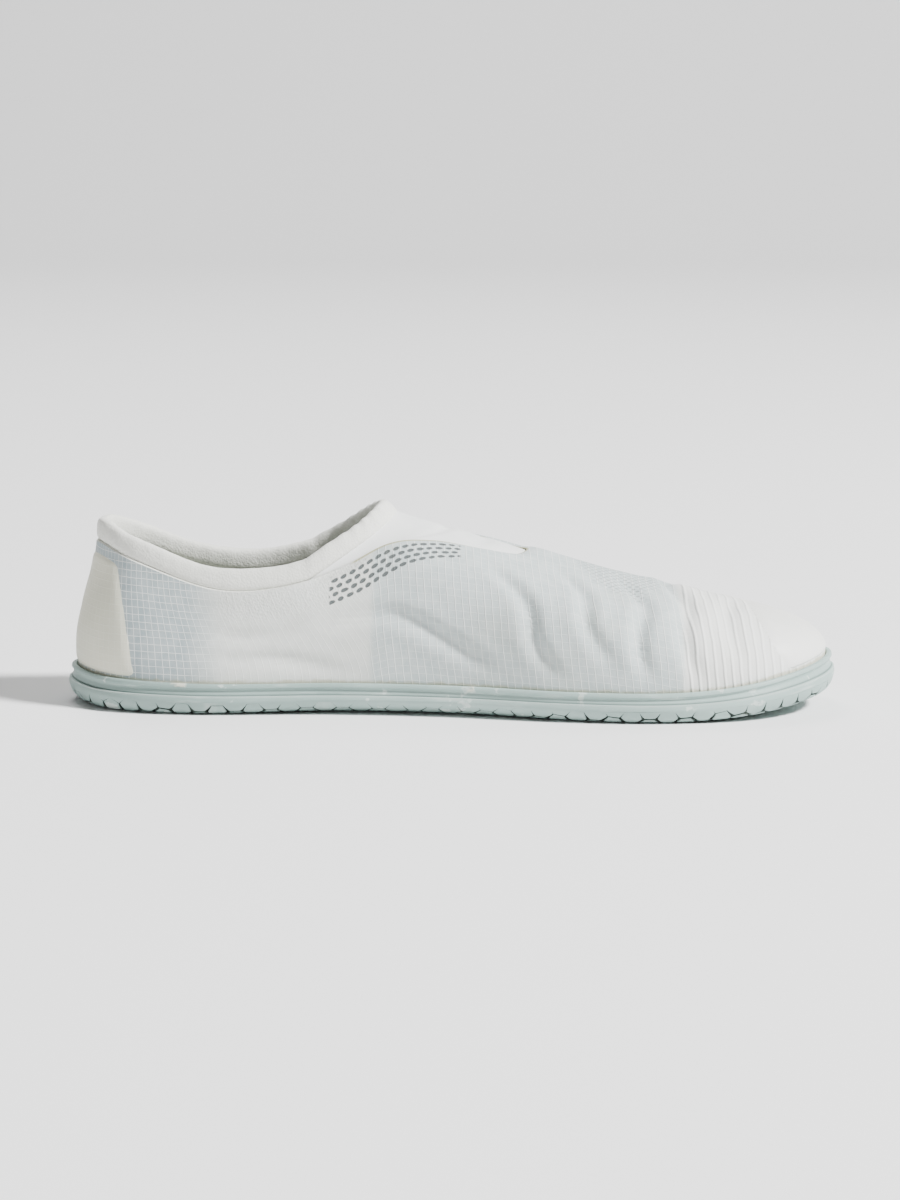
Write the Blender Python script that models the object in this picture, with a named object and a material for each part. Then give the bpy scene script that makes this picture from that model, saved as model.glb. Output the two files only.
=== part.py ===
"""Barefoot slip-on shoe for the left foot: cup sole, insole, upper, tongue, cuff and overlays.

Metres, +Z up. +X runs from heel to toe and -Y is the inner (medial) side of the foot.
The origin is on the ground under the middle of the shoe's box.
"""

from collections import namedtuple
from functools import lru_cache
from math import ceil, cos, pi, radians, sin, sqrt

import bmesh
import bpy
import numpy as np

# Overall size
SOLE_LENGTH = 0.276
BALL_WIDTH = 0.104

# Gap between pieces that touch
FIT_GAP = 0.0003

# Cup sole: heights are above the ground at the waist
SOLE_RIM_HEIGHT = 0.0108
SOLE_STEP_HEIGHT = 0.0068
STEP_DEPTH = 0.0010
RIM_THICKNESS = 0.0020
FOOTBED_HEIGHT = 0.0046
EDGE_ROUND_WIDTH = 0.0056
TOE_SPRING = 0.0060
HEEL_BEVEL = 0.0010
ARCH_TUCK = 0.0085

# Hexagon tread
HEX_WIDTH = 0.0073
GROOVE_WIDTH = 0.0011
GROOVE_DEPTH = 0.0013
TREAD_BAND = 0.0095
SPUR_REACH = 0.0034

# Insole
INSOLE_THICKNESS = 0.0032
INSOLE_BEVEL = 0.0008

# Upper
WALL = 0.0018
HEEL_LEAN = 0.0075
VAMP_LENGTH = 0.1100
COLLAR_WIDTH = 0.0600
THROAT_WIDTH = 0.0340
HEEL_TOP_HEIGHT = 0.0660
ANKLE_HEIGHT = 0.0520
INSTEP_HEIGHT = 0.0650
THROAT_HEIGHT = 0.0560
HEEL_BULGE = 0.0016

# Cuff and tongue
CUFF_HEIGHT = 0.0080
CUFF_THICKNESS = 0.0044
CUFF_LEAVES = 0.50
CUFF_FRONT = 0.0460
TONGUE_THICKNESS = 0.0016
TONGUE_UNDERLAP = 0.0060
TONGUE_SETBACK = 0.0020
TONGUE_CROWN = 0.0030
ARCH_ROUND = 1.2

# Overlays on the upper: lengths at the rim and at the top
OVERLAY_THICKNESS = 0.0006
OVERLAY_LIFT = 0.0008
TOE_CAP_SIDE = 0.0160
TOE_CAP_TOP = 0.0330
TOE_CAP_HEIGHT = 0.0380
COUNTER_SIDE = 0.0270
COUNTER_TOP = 0.0200
COUNTER_HEIGHT = 0.0560
COUNTER_TOP_GAP = 0.0032

# Mesh resolution
SIDE_COLUMNS = 36
UPPER_ROWS = 9
CUFF_SIDES = 8
CUFF_STEPS = 48
TONGUE_ROWS = 7
TONGUE_ACROSS = 8

OutlineRow = namedtuple("OutlineRow", "place along across")
SideRow = namedtuple("SideRow", "along rim step tuck")
ProfileRow = namedtuple("ProfileRow", "place inward base lower")
ToplineRow = namedtuple("ToplineRow", "along half height")
ColumnRow = namedtuple("ColumnRow", "around topline rise reach slope bulge")
Cover = namedtuple("Cover", "centre at_rim at_top height top_gap")
CuffRow = namedtuple("CuffRow", "around lean height")

# The sole's widest outline: shares of SOLE_LENGTH from the heel and of BALL_WIDTH from the middle
OUTLINE = [
    OutlineRow("heel back", 0.000, 0.010),
    OutlineRow("heel, inner", 0.050, -0.235),
    OutlineRow("heel, inner widest", 0.170, -0.335),
    OutlineRow("waist, inner", 0.350, -0.330),
    OutlineRow("arch, inner", 0.500, -0.372),
    OutlineRow("behind ball, inner", 0.640, -0.462),
    OutlineRow("ball, inner", 0.760, -0.500),
    OutlineRow("big toe, inner", 0.885, -0.452),
    OutlineRow("big toe, corner", 0.970, -0.300),
    OutlineRow("toe tip", 1.000, -0.090),
    OutlineRow("second toe", 0.972, 0.140),
    OutlineRow("little toe", 0.890, 0.345),
    OutlineRow("ball, outer front", 0.765, 0.472),
    OutlineRow("ball, outer", 0.640, 0.500),
    OutlineRow("behind ball, outer", 0.500, 0.445),
    OutlineRow("waist, outer", 0.350, 0.388),
    OutlineRow("heel, outer widest", 0.170, 0.352),
    OutlineRow("heel, outer", 0.050, 0.250),
]

# The sole's side along each edge: shares of the rim and step heights, and of ARCH_TUCK
INNER_SIDE = [
    SideRow(0.00, 1.16, 1.14, 0.00),
    SideRow(0.18, 1.04, 1.03, 0.06),
    SideRow(0.38, 1.06, 1.06, 0.90),
    SideRow(0.52, 1.04, 1.04, 0.80),
    SideRow(0.68, 1.00, 1.00, 0.10),
    SideRow(0.86, 1.06, 1.06, 0.00),
    SideRow(1.00, 1.26, 1.26, 0.00),
]
OUTER_SIDE = [
    SideRow(0.00, 1.16, 1.14, 0.00),
    SideRow(0.18, 1.02, 1.02, 0.00),
    SideRow(0.38, 1.00, 1.00, 0.22),
    SideRow(0.52, 0.98, 0.98, 0.14),
    SideRow(0.68, 0.98, 0.98, 0.00),
    SideRow(0.86, 1.05, 1.05, 0.00),
    SideRow(1.00, 1.26, 1.26, 0.00),
]

# The side's profile from the ground up to the ledge: inward in shares of EDGE_ROUND_WIDTH and of
# the arch's tuck (base), and heights as shares of the lower band
PROFILE = [
    ProfileRow("contact edge", 1.00, 1.00, 0.00),
    ProfileRow("round, low", 0.52, 0.55, 0.09),
    ProfileRow("round, middle", 0.20, 0.24, 0.31),
    ProfileRow("widest line", 0.00, 0.00, 0.72),
    ProfileRow("top of the lower band", 0.04, 0.00, 0.97),
]

# The upper's cut edge from the back of the heel to the front of the throat: shares of its length
TOPLINE = [
    ToplineRow(0.000, 0.00 * COLLAR_WIDTH, HEEL_TOP_HEIGHT - CUFF_HEIGHT),
    ToplineRow(0.022, 0.19 * COLLAR_WIDTH, HEEL_TOP_HEIGHT - CUFF_HEIGHT),
    ToplineRow(0.100, 0.36 * COLLAR_WIDTH, 0.65 * HEEL_TOP_HEIGHT + 0.35 * ANKLE_HEIGHT - CUFF_HEIGHT),
    ToplineRow(0.280, 0.47 * COLLAR_WIDTH, ANKLE_HEIGHT - CUFF_HEIGHT),
    ToplineRow(0.430, 0.49 * COLLAR_WIDTH, ANKLE_HEIGHT - 0.9 * CUFF_HEIGHT),
    ToplineRow(0.560, 0.44 * COLLAR_WIDTH, 0.64 * ANKLE_HEIGHT + 0.36 * INSTEP_HEIGHT - 0.7 * CUFF_HEIGHT),
    ToplineRow(0.680, 0.66 * THROAT_WIDTH, 0.93 * INSTEP_HEIGHT),
    ToplineRow(0.780, 0.54 * THROAT_WIDTH, 0.42 * THROAT_HEIGHT + 0.58 * INSTEP_HEIGHT),
    ToplineRow(0.890, 0.47 * THROAT_WIDTH, 0.75 * THROAT_HEIGHT + 0.25 * INSTEP_HEIGHT),
    ToplineRow(0.970, 0.30 * THROAT_WIDTH, 0.99 * THROAT_HEIGHT),
    ToplineRow(1.000, 0.00 * THROAT_WIDTH, THROAT_HEIGHT),
]

# How each column of the upper climbs from the sole (around) to the cut edge (topline):
# rise and reach are its end handles as shares of its height and chord, slope is its end angle,
# and bulge is its outward swing as a share of HEEL_BULGE
COLUMNS = [
    ColumnRow(0.00, 0.000, 0.42, 0.30, 86, 1.0),
    ColumnRow(0.12, 0.130, 0.40, 0.30, 84, 0.9),
    ColumnRow(0.26, 0.320, 0.36, 0.30, 80, 0.3),
    ColumnRow(0.40, 0.520, 0.40, 0.30, 68, 0.2),
    ColumnRow(0.52, 0.670, 0.48, 0.34, 48, 0.4),
    ColumnRow(0.66, 0.810, 0.55, 0.40, 34, 0.7),
    ColumnRow(0.80, 0.910, 0.54, 0.46, 24, 0.7),
    ColumnRow(0.91, 0.965, 0.48, 0.54, 19, 0.4),
    ColumnRow(1.00, 1.000, 0.42, 0.60, 17, 0.3),
]

# The cuff from the back of the heel to the instep: its lean towards the foot in degrees, and
# its height as a share of CUFF_HEIGHT
CUFF = [
    CuffRow(0.00, 4, 1.00),
    CuffRow(0.30, 10, 1.00),
    CuffRow(0.65, 18, 1.00),
    CuffRow(0.85, 34, 0.95),
    CuffRow(1.00, 46, 0.95),
]

HEEL_X = -SOLE_LENGTH / 2
TOE_X = SOLE_LENGTH / 2
INNER, OUTER = 0, 1
LUG_PITCH = HEX_WIDTH * sqrt(3) / 2


def smooth_read(places, values, at):
    """Reads a table at given places along a smooth curve through its rows."""
    places = np.asarray(places, float)
    values = np.asarray(values, float)
    slopes = np.gradient(values, places)
    at = np.clip(np.asarray(at, float), places[0], places[-1])
    row = np.clip(np.searchsorted(places, at, side="right") - 1, 0, len(places) - 2)
    step = places[row + 1] - places[row]
    t = (at - places[row]) / step
    start = (1 + 2 * t) * (1 - t) ** 2 * values[row]
    start_slope = t * (1 - t) ** 2 * step * slopes[row]
    end = t * t * (3 - 2 * t) * values[row + 1]
    end_slope = t * t * (t - 1) * step * slopes[row + 1]
    return start + start_slope + end + end_slope


def read_column(table, key, column, at):
    """Reads one named column of a table against another named column."""
    return smooth_read([getattr(r, key) for r in table], [getattr(r, column) for r in table], at)


def walk(points, shares, extra=None):
    """Points at shares of the length of an open polyline, with any extra columns read there too."""
    lengths = np.linalg.norm(np.diff(points, axis=0), axis=1)
    travelled = np.concatenate([[0.0], np.cumsum(lengths)]) / lengths.sum()
    columns = points if extra is None else np.hstack([points, extra])
    return np.column_stack([np.interp(shares, travelled, c) for c in columns.T])


def curve_through(points, per_span):
    """A smooth curve through points; the first and last only steer its ends."""
    rows = np.asarray(points, float)
    spans = len(rows) - 3
    steps = np.linspace(0, spans, spans * per_span + 1)
    row = np.minimum(steps.astype(int), spans - 1)
    t = (steps - row)[:, None]
    before, here, after, later = (rows[row + k] for k in range(4))
    return 0.5 * (
        2 * here
        + (after - before) * t
        + (2 * before - 5 * here + 4 * after - later) * t**2
        + (3 * here - before - 3 * after + later) * t**3
    )


def outline_curve():
    """The closed outline as a dense loop, fitted to SOLE_LENGTH and BALL_WIDTH about the origin."""
    rows = [(r.along, r.across) for r in OUTLINE]
    loop = curve_through([rows[-1], *rows, *rows[:2]], 40)[:-1]
    low, high = loop.min(axis=0), loop.max(axis=0)
    return ((loop - low) / (high - low) - 0.5) * [SOLE_LENGTH, BALL_WIDTH]


def split_sides(loop):
    """The outline's inner and outer edges, each from the back of the heel to the toe tip."""
    heel, toe = int(loop[:, 0].argmin()), int(loop[:, 0].argmax())
    inner = np.roll(loop, -heel, axis=0)[: (toe - heel) % len(loop) + 1]
    outer = np.roll(loop, -toe, axis=0)[: (heel - toe) % len(loop) + 1][::-1]
    return inner, outer


SIDES = split_sides(outline_curve())


def outline_normals(points, side):
    """Outward plan normals of an edge that runs from heel to toe."""
    tangent = np.gradient(points, axis=0)
    normal = np.column_stack([tangent[:, 1], -tangent[:, 0]])
    if side == OUTER:
        normal = -normal
    normal[0] = (-1.0, 0.0)
    normal[-1] = (1.0, 0.0)
    return normal / np.linalg.norm(normal, axis=1)[:, None]


def edge(side, shares):
    """Points and outward normals of the outline at shares of one edge's length."""
    points = SIDES[side]
    found = walk(points, shares, outline_normals(points, side))
    normals = found[:, 2:]
    return found[:, :2], normals / np.linalg.norm(normals, axis=1)[:, None]


def along_share(x):
    """Share of the sole's length in front of the heel."""
    return np.clip((np.asarray(x) - HEEL_X) / SOLE_LENGTH, 0, 1)


def ground_lift(x):
    """How far the sole's underside rises off the ground: toe spring and a small heel bevel."""
    share = along_share(x)
    toe = TOE_SPRING * (np.clip(share - 0.76, 0, None) / 0.24) ** 2
    heel = HEEL_BEVEL * (np.clip(0.07 - share, 0, None) / 0.07) ** 2
    return toe + heel


def side_shares():
    """Even shares of an edge's length, a little closer at the round heel and toe."""
    even = np.linspace(0, 1, SIDE_COLUMNS + 1)
    return even - 0.035 * np.sin(2 * pi * even)


def around(make_side):
    """Joins the inner edge, heel to toe, and the outer edge, toe to heel, into one closed row."""
    inner = make_side(INNER)
    outer = make_side(OUTER)
    return np.concatenate([inner, outer[-2:0:-1]])


def ring(inset, height):
    """A closed row of the shoe at an inset from the outline and a height over the lifted ground.

    inset and height are numbers, or functions of side, x that give one for each column.
    """

    def make_side(side):
        points, normals = edge(side, side_shares())
        inward = inset(side, points[:, 0]) if callable(inset) else np.full(len(points), inset)
        level = height(side, points[:, 0]) if callable(height) else np.full(len(points), height)
        plan = points - normals * inward[:, None]
        return np.column_stack([plan, level + ground_lift(points[:, 0])])

    return around(make_side)


def side_value(column):
    """A function that reads a column of the sole's side tables."""

    def read(side, x):
        table = INNER_SIDE if side == INNER else OUTER_SIDE
        return read_column(table, "along", column, along_share(x))

    return read


def step_height(side, x):
    """Height of the ledge between the sole's two bands."""
    return SOLE_STEP_HEIGHT * side_value("step")(side, x)


def rim_height(side, x):
    """Height of the sole's rim."""
    return SOLE_RIM_HEIGHT * side_value("rim")(side, x)


def tuck(side, x):
    """How far the contact edge is drawn in under the arch."""
    return ARCH_TUCK * np.clip(side_value("tuck")(side, x), 0, 1)


RIM_INSET = STEP_DEPTH + RIM_THICKNESS
FOOT_INSET = RIM_INSET + FIT_GAP
INSOLE_INSET = FOOT_INSET + WALL + 2 * FIT_GAP


def new_object(name, mesh_data, color, roughness):
    """Links a mesh as a named object with its own plain material."""
    item = bpy.data.objects.new(name, mesh_data)
    bpy.context.scene.collection.objects.link(item)
    material = bpy.data.materials.new(name)
    material.use_nodes = True
    shader = material.node_tree.nodes["Principled BSDF"]
    shader.inputs["Base Color"].default_value = (*color, 1.0)
    shader.inputs["Roughness"].default_value = roughness
    shader.inputs["Metallic"].default_value = 0.0
    mesh_data.materials.append(material)
    mesh_data.shade_smooth()
    mesh_data.set_sharp_from_angle(angle=radians(35))
    return item


def finish_mesh(name, bm):
    """Writes a bmesh to mesh data with its normals facing out."""
    bmesh.ops.remove_doubles(bm, verts=bm.verts, dist=1e-6)
    bmesh.ops.recalc_face_normals(bm, faces=bm.faces)
    data = bpy.data.meshes.new(name)
    bm.to_mesh(data)
    bm.free()
    return data


def add_row(bm, points):
    """Adds one row of vertices."""
    return [bm.verts.new(p) for p in points]


def bridge(bm, low, high, closed=True):
    """Faces between two rows of the same length."""
    count = len(low)
    for i in range(count if closed else count - 1):
        j = (i + 1) % count
        bm.faces.new((low[i], low[j], high[j], high[i]))


def fill_across(bm, row):
    """Closes a ring with straight strips from the inner edge to the outer edge."""
    count = len(row)
    for i in range(SIDE_COLUMNS):
        a, b = row[i], row[i + 1]
        c, d = row[(count - i - 1) % count], row[(count - i) % count]
        corners = []
        for v in (a, b, c, d):
            if v not in corners:
                corners.append(v)
        if len(corners) > 2:
            bm.faces.new(corners)


def sole_rings():
    """Rows of the cup sole from the contact edge, over the rim and down to the footbed."""
    rings = []
    for row in PROFILE:
        rings.append(
            ring(
                lambda side, x, r=row: r.inward * EDGE_ROUND_WIDTH + r.base * tuck(side, x),
                lambda side, x, r=row: r.lower * step_height(side, x),
            )
        )
    lip = 0.35 * RIM_THICKNESS
    rings.append(ring(STEP_DEPTH, step_height))
    rings.append(ring(STEP_DEPTH, lambda side, x: rim_height(side, x) - lip))
    rings.append(ring(STEP_DEPTH + 0.5 * lip, rim_height))
    rings.append(ring(RIM_INSET, rim_height))
    rings.append(ring(RIM_INSET, FOOTBED_HEIGHT))
    return rings


def inside_depth(point):
    """How far a plan point lies inside the tucked outline, negative outside it."""
    side = INNER if point[1] < 0 else OUTER
    points = SIDES[side]
    offsets = points - point
    nearest = int(np.hypot(offsets[:, 0], offsets[:, 1]).argmin())
    depth = float(offsets[nearest] @ outline_normals(points, side)[nearest])
    return depth, float(tuck(side, points[nearest, 0])), side


def lug_cells():
    """Column and half-row numbers of the hexagon lugs near the edge of the tread."""
    columns = ceil(TOE_X / LUG_PITCH)
    half_rows = ceil(BALL_WIDTH / HEX_WIDTH)
    cells = {}
    for i in range(-columns, columns + 1):
        for j in range(-half_rows, half_rows + 1):
            centre = np.array([i * LUG_PITCH, j * HEX_WIDTH / 2])
            if (i + j) % 2:
                continue
            depth, tucked, _ = inside_depth(centre)
            if -SPUR_REACH < depth - tucked < TREAD_BAND:
                cells[i, j] = centre
    return cells


def lug_corner(centre, k):
    """Corner k of a lug, at 60 degrees to the next."""
    radius = (HEX_WIDTH - GROOVE_WIDTH) / sqrt(3)
    return centre + radius * np.array([cos(k * pi / 3), sin(k * pi / 3)])


def groove_patches():
    """Outlines of the grooves in plan: a strip between two lugs, a triangle where three meet."""
    cells = lug_cells()
    patches = []
    for (i, j), centre in cells.items():
        ahead = [cells.get((i + 1, j + 1)), cells.get((i, j + 2)), cells.get((i - 1, j + 1))]
        below = [cells.get((i + 1, j - 1)), cells.get((i - 1, j - 1))]
        for k, other in enumerate(ahead):
            if other is not None:
                pairs = [(centre, k), (other, k + 4), (other, k + 3), (centre, k + 1)]
                patches.append([lug_corner(*pair) for pair in pairs])
        if ahead[0] is not None and below[0] is not None:
            pairs = [(centre, 0), (below[0], 2), (ahead[0], 4)]
            patches.append([lug_corner(*pair) for pair in pairs])
        if ahead[2] is not None and below[1] is not None:
            pairs = [(centre, 3), (ahead[2], 5), (below[1], 1)]
            patches.append([lug_corner(*pair) for pair in pairs])
    return patches


def groove_floor(point):
    """Height of a groove's floor: an even depth into the underside, ending at the side's widest line."""
    depth, tucked, side = inside_depth(point)
    rows = PROFILE[3::-1]
    inward = [row.inward * EDGE_ROUND_WIDTH + row.base * tucked for row in rows]
    heights = [row.lower * float(step_height(side, point[0])) for row in rows]
    floor = float(np.interp(depth - GROOVE_DEPTH, inward, heights)) + GROOVE_DEPTH
    return min(floor, heights[0]) + ground_lift(point[0])


def tread_cutter():
    """The hexagon grooves as one solid, from below the ground up to their floors."""
    bm = bmesh.new()
    for patch in groove_patches():
        bm.faces.new([bm.verts.new((*point, -GROOVE_DEPTH)) for point in patch])
    bmesh.ops.remove_doubles(bm, verts=bm.verts, dist=0.1 * GROOVE_WIDTH)
    extruded = bmesh.ops.extrude_face_region(bm, geom=list(bm.faces))
    for item in extruded["geom"]:
        if isinstance(item, bmesh.types.BMVert):
            item.co.z = groove_floor(np.array(item.co.xy))
    cutter = bpy.data.objects.new("tread_cutter", finish_mesh("tread_cutter", bm))
    bpy.context.scene.collection.objects.link(cutter)
    cutter.hide_render = True
    cutter.display_type = "WIRE"
    return cutter


def make_outsole():
    """The rubber cup sole with its two side bands and the grooves round its edge."""
    bm = bmesh.new()
    rows = [add_row(bm, points) for points in sole_rings()]
    for low, high in zip(rows, rows[1:]):
        bridge(bm, low, high)
    fill_across(bm, rows[0])
    fill_across(bm, rows[-1])
    sole = new_object("outsole", finish_mesh("outsole", bm), (0.60, 0.66, 0.65), 0.55)
    grooves = sole.modifiers.new("tread", "BOOLEAN")
    grooves.operation = "DIFFERENCE"
    grooves.solver = "EXACT"
    grooves.object = tread_cutter()
    return sole


def make_insole():
    """The foam insole, loose on the footbed inside the upper."""
    base = FOOTBED_HEIGHT + FIT_GAP
    top = base + INSOLE_THICKNESS
    bm = bmesh.new()
    rows = [
        add_row(bm, ring(INSOLE_INSET, base)),
        add_row(bm, ring(INSOLE_INSET, top - INSOLE_BEVEL)),
        add_row(bm, ring(INSOLE_INSET + INSOLE_BEVEL, top)),
    ]
    bridge(bm, rows[0], rows[1])
    bridge(bm, rows[1], rows[2])
    fill_across(bm, rows[0])
    fill_across(bm, rows[2])
    return new_object("insole", finish_mesh("insole", bm), (0.42, 0.46, 0.41), 0.85)


@lru_cache
def topline_curve(side):
    """One side of the upper's cut edge, from the back of the heel to the front of the throat."""
    start = HEEL_X + FOOT_INSET + HEEL_LEAN
    end = TOE_X - VAMP_LENGTH
    sign = -1 if side == INNER else 1
    rows = [(start + (end - start) * r.along, sign * r.half, r.height) for r in TOPLINE]
    mirrored = [(x, -y, z) for x, y, z in (rows[1], rows[-2])]
    return curve_through([mirrored[0], *rows, mirrored[1]], 24)


def bezier(p0, p1, p2, p3, t):
    """Points of a cubic curve."""
    t = np.asarray(t)[:, None]
    return (1 - t) ** 3 * p0 + 3 * t * (1 - t) ** 2 * p1 + 3 * t * t * (1 - t) * p2 + t**3 * p3


def upper_column(side, share, steps):
    """One climb of the upper's outer face, from the sole's rim to the cut edge."""
    plan, normal = edge(side, np.array([share]))
    plan, normal = plan[0], normal[0]
    foot = np.array([*(plan - normal * FOOT_INSET), 0.0])
    foot[2] = float(rim_height(side, plan[0]) + ground_lift(plan[0]))
    cut_share = float(read_column(COLUMNS, "around", "topline", share))
    cut = walk(topline_curve(side), np.array([cut_share]))[0]
    rise, reach, slope, bulge = (
        float(read_column(COLUMNS, "around", name, share)) for name in ("rise", "reach", "slope", "bulge")
    )
    out = foot[:2] - cut[:2] + normal * 0.25 * COLLAR_WIDTH
    out = out / np.hypot(*out)
    chord = float(np.linalg.norm(cut - foot))
    low_handle = foot + np.array([*(normal * bulge * HEEL_BULGE), rise * (cut[2] - foot[2])])
    end_angle = radians(slope)
    high_handle = cut + reach * chord * np.array([*(out * cos(end_angle)), -sin(end_angle)])
    return bezier(foot, low_handle, high_handle, cut, steps)


def upper_rows(steps):
    """Rows of the upper's outer face above the rim, each a closed loop round the shoe."""

    def make_side(side):
        return np.array([upper_column(side, share, steps) for share in side_shares()])

    columns = around(make_side)
    return [columns[:, k] for k in range(len(steps))]


def upper_steps():
    """Where the upper's rows cross its columns."""
    return np.linspace(0, 1, UPPER_ROWS) ** 0.92


@lru_cache(maxsize=None)
def off_upper(side, share, climb, out):
    """A point at a distance outside the upper's outer face, inside it where out is negative."""
    nudge = 0.004
    low, high = max(climb - nudge, 0.0), min(climb + nudge, 1.0)
    back, ahead = max(share - nudge, 0.0), min(share + nudge, 1.0)
    column = upper_column(side, share, np.array([low, climb, high]))
    across = upper_column(side, ahead, [climb])[0] - upper_column(side, back, [climb])[0]
    if share in (0.0, 1.0):
        across = np.array([0.0, abs(across[1]), 0.0]) * (1 if (share == 1.0) == (side == INNER) else -1)
    normal = np.cross(across, column[2] - column[0])
    if side == OUTER:
        normal = -normal
    return column[1] + normal / np.linalg.norm(normal) * out


def thicken(item, thickness):
    """Gives an open outer face its wall, on the inside."""
    wall = item.modifiers.new("wall", "SOLIDIFY")
    wall.thickness = thickness
    wall.offset = -1.0
    wall.use_even_offset = True
    return item


def make_upper():
    """The hollow fabric upper, open at the collar, the throat and underneath."""
    bm = bmesh.new()
    rows = [add_row(bm, ring(FOOT_INSET, FOOTBED_HEIGHT + FIT_GAP))]
    rows += [add_row(bm, points) for points in upper_rows(upper_steps())]
    for low, high in zip(rows, rows[1:]):
        bridge(bm, low, high)
    upper = new_object("upper", finish_mesh("upper", bm), (0.80, 0.81, 0.79), 0.9)
    return thicken(upper, WALL)


def rim_climb(side, share):
    """How far up a column an overlay has to start to clear the sole's rim."""
    steps = np.linspace(0, 0.2, 21)
    heights = upper_column(side, share, steps)[:, 2]
    return float(np.interp(heights[0] + OVERLAY_LIFT, heights, steps))


def overlay_column(side, share, top_gap):
    """One column of an overlay's outer face, on the upper's own rows from the rim up to its top gap."""
    out = OVERLAY_THICKNESS + FIT_GAP
    steps = upper_steps()
    start = rim_climb(side, share)
    cap = 1 - top_gap / polyline_length(upper_column(side, share, steps))
    rows = np.array([off_upper(side, share, step, out) for step in steps])
    climbs = [start, *[step for step in steps[:-1] if start < step < cap - 0.02], cap]
    return np.column_stack([np.interp(climbs, steps, values) for values in rows.T])


def cut_at_border(bm, cover):
    """Cuts an overlay off along its border, a plane that leans from the rim to the top."""
    end, toward = (HEEL_X, 1) if cover.centre == 0 else (TOE_X, -1)
    run = (cover.at_top - cover.at_rim) * toward
    rise = cover.height - SOLE_RIM_HEIGHT
    bmesh.ops.bisect_plane(
        bm,
        geom=[*bm.verts, *bm.edges, *bm.faces],
        dist=1e-6,
        plane_co=(end + cover.at_rim * toward, 0.0, SOLE_RIM_HEIGHT),
        plane_no=(rise * toward, 0.0, -run * toward),
        clear_outer=True,
    )


def make_overlay(name, cover, color):
    """An overlay wrapped round the heel or the toe, over the upper."""
    end = HEEL_X if cover.centre == 0 else TOE_X
    reach = 2 * max(cover.at_rim, cover.at_top)
    shares = side_shares()
    bm = bmesh.new()
    for side in (INNER, OUTER):
        feet = edge(side, shares)[0][:, 0]
        near = shares[abs(feet - end) < reach]
        rows = [add_row(bm, overlay_column(side, share, cover.top_gap)) for share in near]
        for here, there in zip(rows, rows[1:]):
            bridge(bm, here, there, closed=False)
    bmesh.ops.remove_doubles(bm, verts=bm.verts, dist=1e-6)
    cut_at_border(bm, cover)
    return thicken(new_object(name, finish_mesh(name, bm), color, 0.6), OVERLAY_THICKNESS)


def polyline_length(points):
    """Length of an open polyline."""
    return float(np.linalg.norm(np.diff(points, axis=0), axis=1).sum())


def add_face(bm, corners):
    """Adds a face of its own vertices, leaving out corners that coincide."""
    kept = []
    for corner in corners:
        if all(np.linalg.norm(corner - other) > 1e-6 for other in kept):
            kept.append(corner)
    if len(kept) > 2:
        bm.faces.new([bm.verts.new(c) for c in kept])


def cuff_base():
    """The closed line on which the cuff stands: the topline, then an arc over the instep."""
    sides = []
    for side in (INNER, OUTER):
        edge_line = topline_curve(side)
        sides.append(walk(edge_line, np.linspace(0, CUFF_LEAVES, 30)))
    front = instep_arc(sides[0][-1], sides[1][-1], cuff_centre(), 15)
    return np.concatenate([sides[0], front[1:-1], sides[1][:0:-1]])


def cuff_centre():
    """The cuff's base point in the middle of the instep."""
    return np.array([TOE_X - VAMP_LENGTH - CUFF_FRONT, 0.0, INSTEP_HEIGHT + TONGUE_CROWN])


def instep_arc(start, end, centre, count):
    """A round arch over the instep from one side to the other through its centre point."""
    turn = np.linspace(-pi / 2, pi / 2, count)[:, None]
    middle = 0.5 * (start + end)
    return middle + 0.5 * (end - start) * np.sin(turn) + (centre - middle) * np.cos(turn) ** ARCH_ROUND


def make_cuff():
    """The padded collar: a closed roll that stands on the upper and crosses the tongue."""
    base = cuff_base()
    closed = np.concatenate([base, base[:1]])
    path = walk(closed, np.linspace(0, 1, CUFF_STEPS + 1))[:-1]
    bm = bmesh.new()
    rows = []
    for i in range(CUFF_STEPS):
        tangent = path[(i + 1) % CUFF_STEPS] - path[i - 1]
        tangent /= np.linalg.norm(tangent)
        inward = np.array([-tangent[1], tangent[0], 0.0])
        inward /= np.linalg.norm(inward)
        place = 1 - abs(2 * i / CUFF_STEPS - 1)
        lean = radians(float(read_column(CUFF, "around", "lean", place)))
        height = CUFF_HEIGHT * float(read_column(CUFF, "around", "height", place))
        up = np.array([0.0, 0.0, cos(lean)]) + inward * sin(lean)
        wide = np.cross(tangent, up)
        wide /= np.linalg.norm(wide)
        section = []
        for k in range(CUFF_SIDES):
            angle = 2 * pi * (k + 0.5) / CUFF_SIDES
            x = CUFF_THICKNESS / 2 * np.sign(cos(angle)) * abs(cos(angle)) ** 0.7
            y = height / 2 * np.sign(sin(angle)) * abs(sin(angle)) ** 0.7
            section.append(path[i] + wide * (x - CUFF_THICKNESS / 2) + up * (y + height / 2 + FIT_GAP))
        rows.append(add_row(bm, section))
    for i in range(CUFF_STEPS):
        bridge(bm, rows[i], rows[(i + 1) % CUFF_STEPS])
    return new_object("cuff", finish_mesh("cuff", bm), (0.78, 0.79, 0.74), 0.9)


def column_share(topline_share):
    """The share round the sole whose column meets the cut edge at a given share."""
    low, high = 0.0, 1.0
    for _ in range(40):
        middle = 0.5 * (low + high)
        if float(read_column(COLUMNS, "around", "topline", middle)) < topline_share:
            low = middle
        else:
            high = middle
    return low


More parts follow.
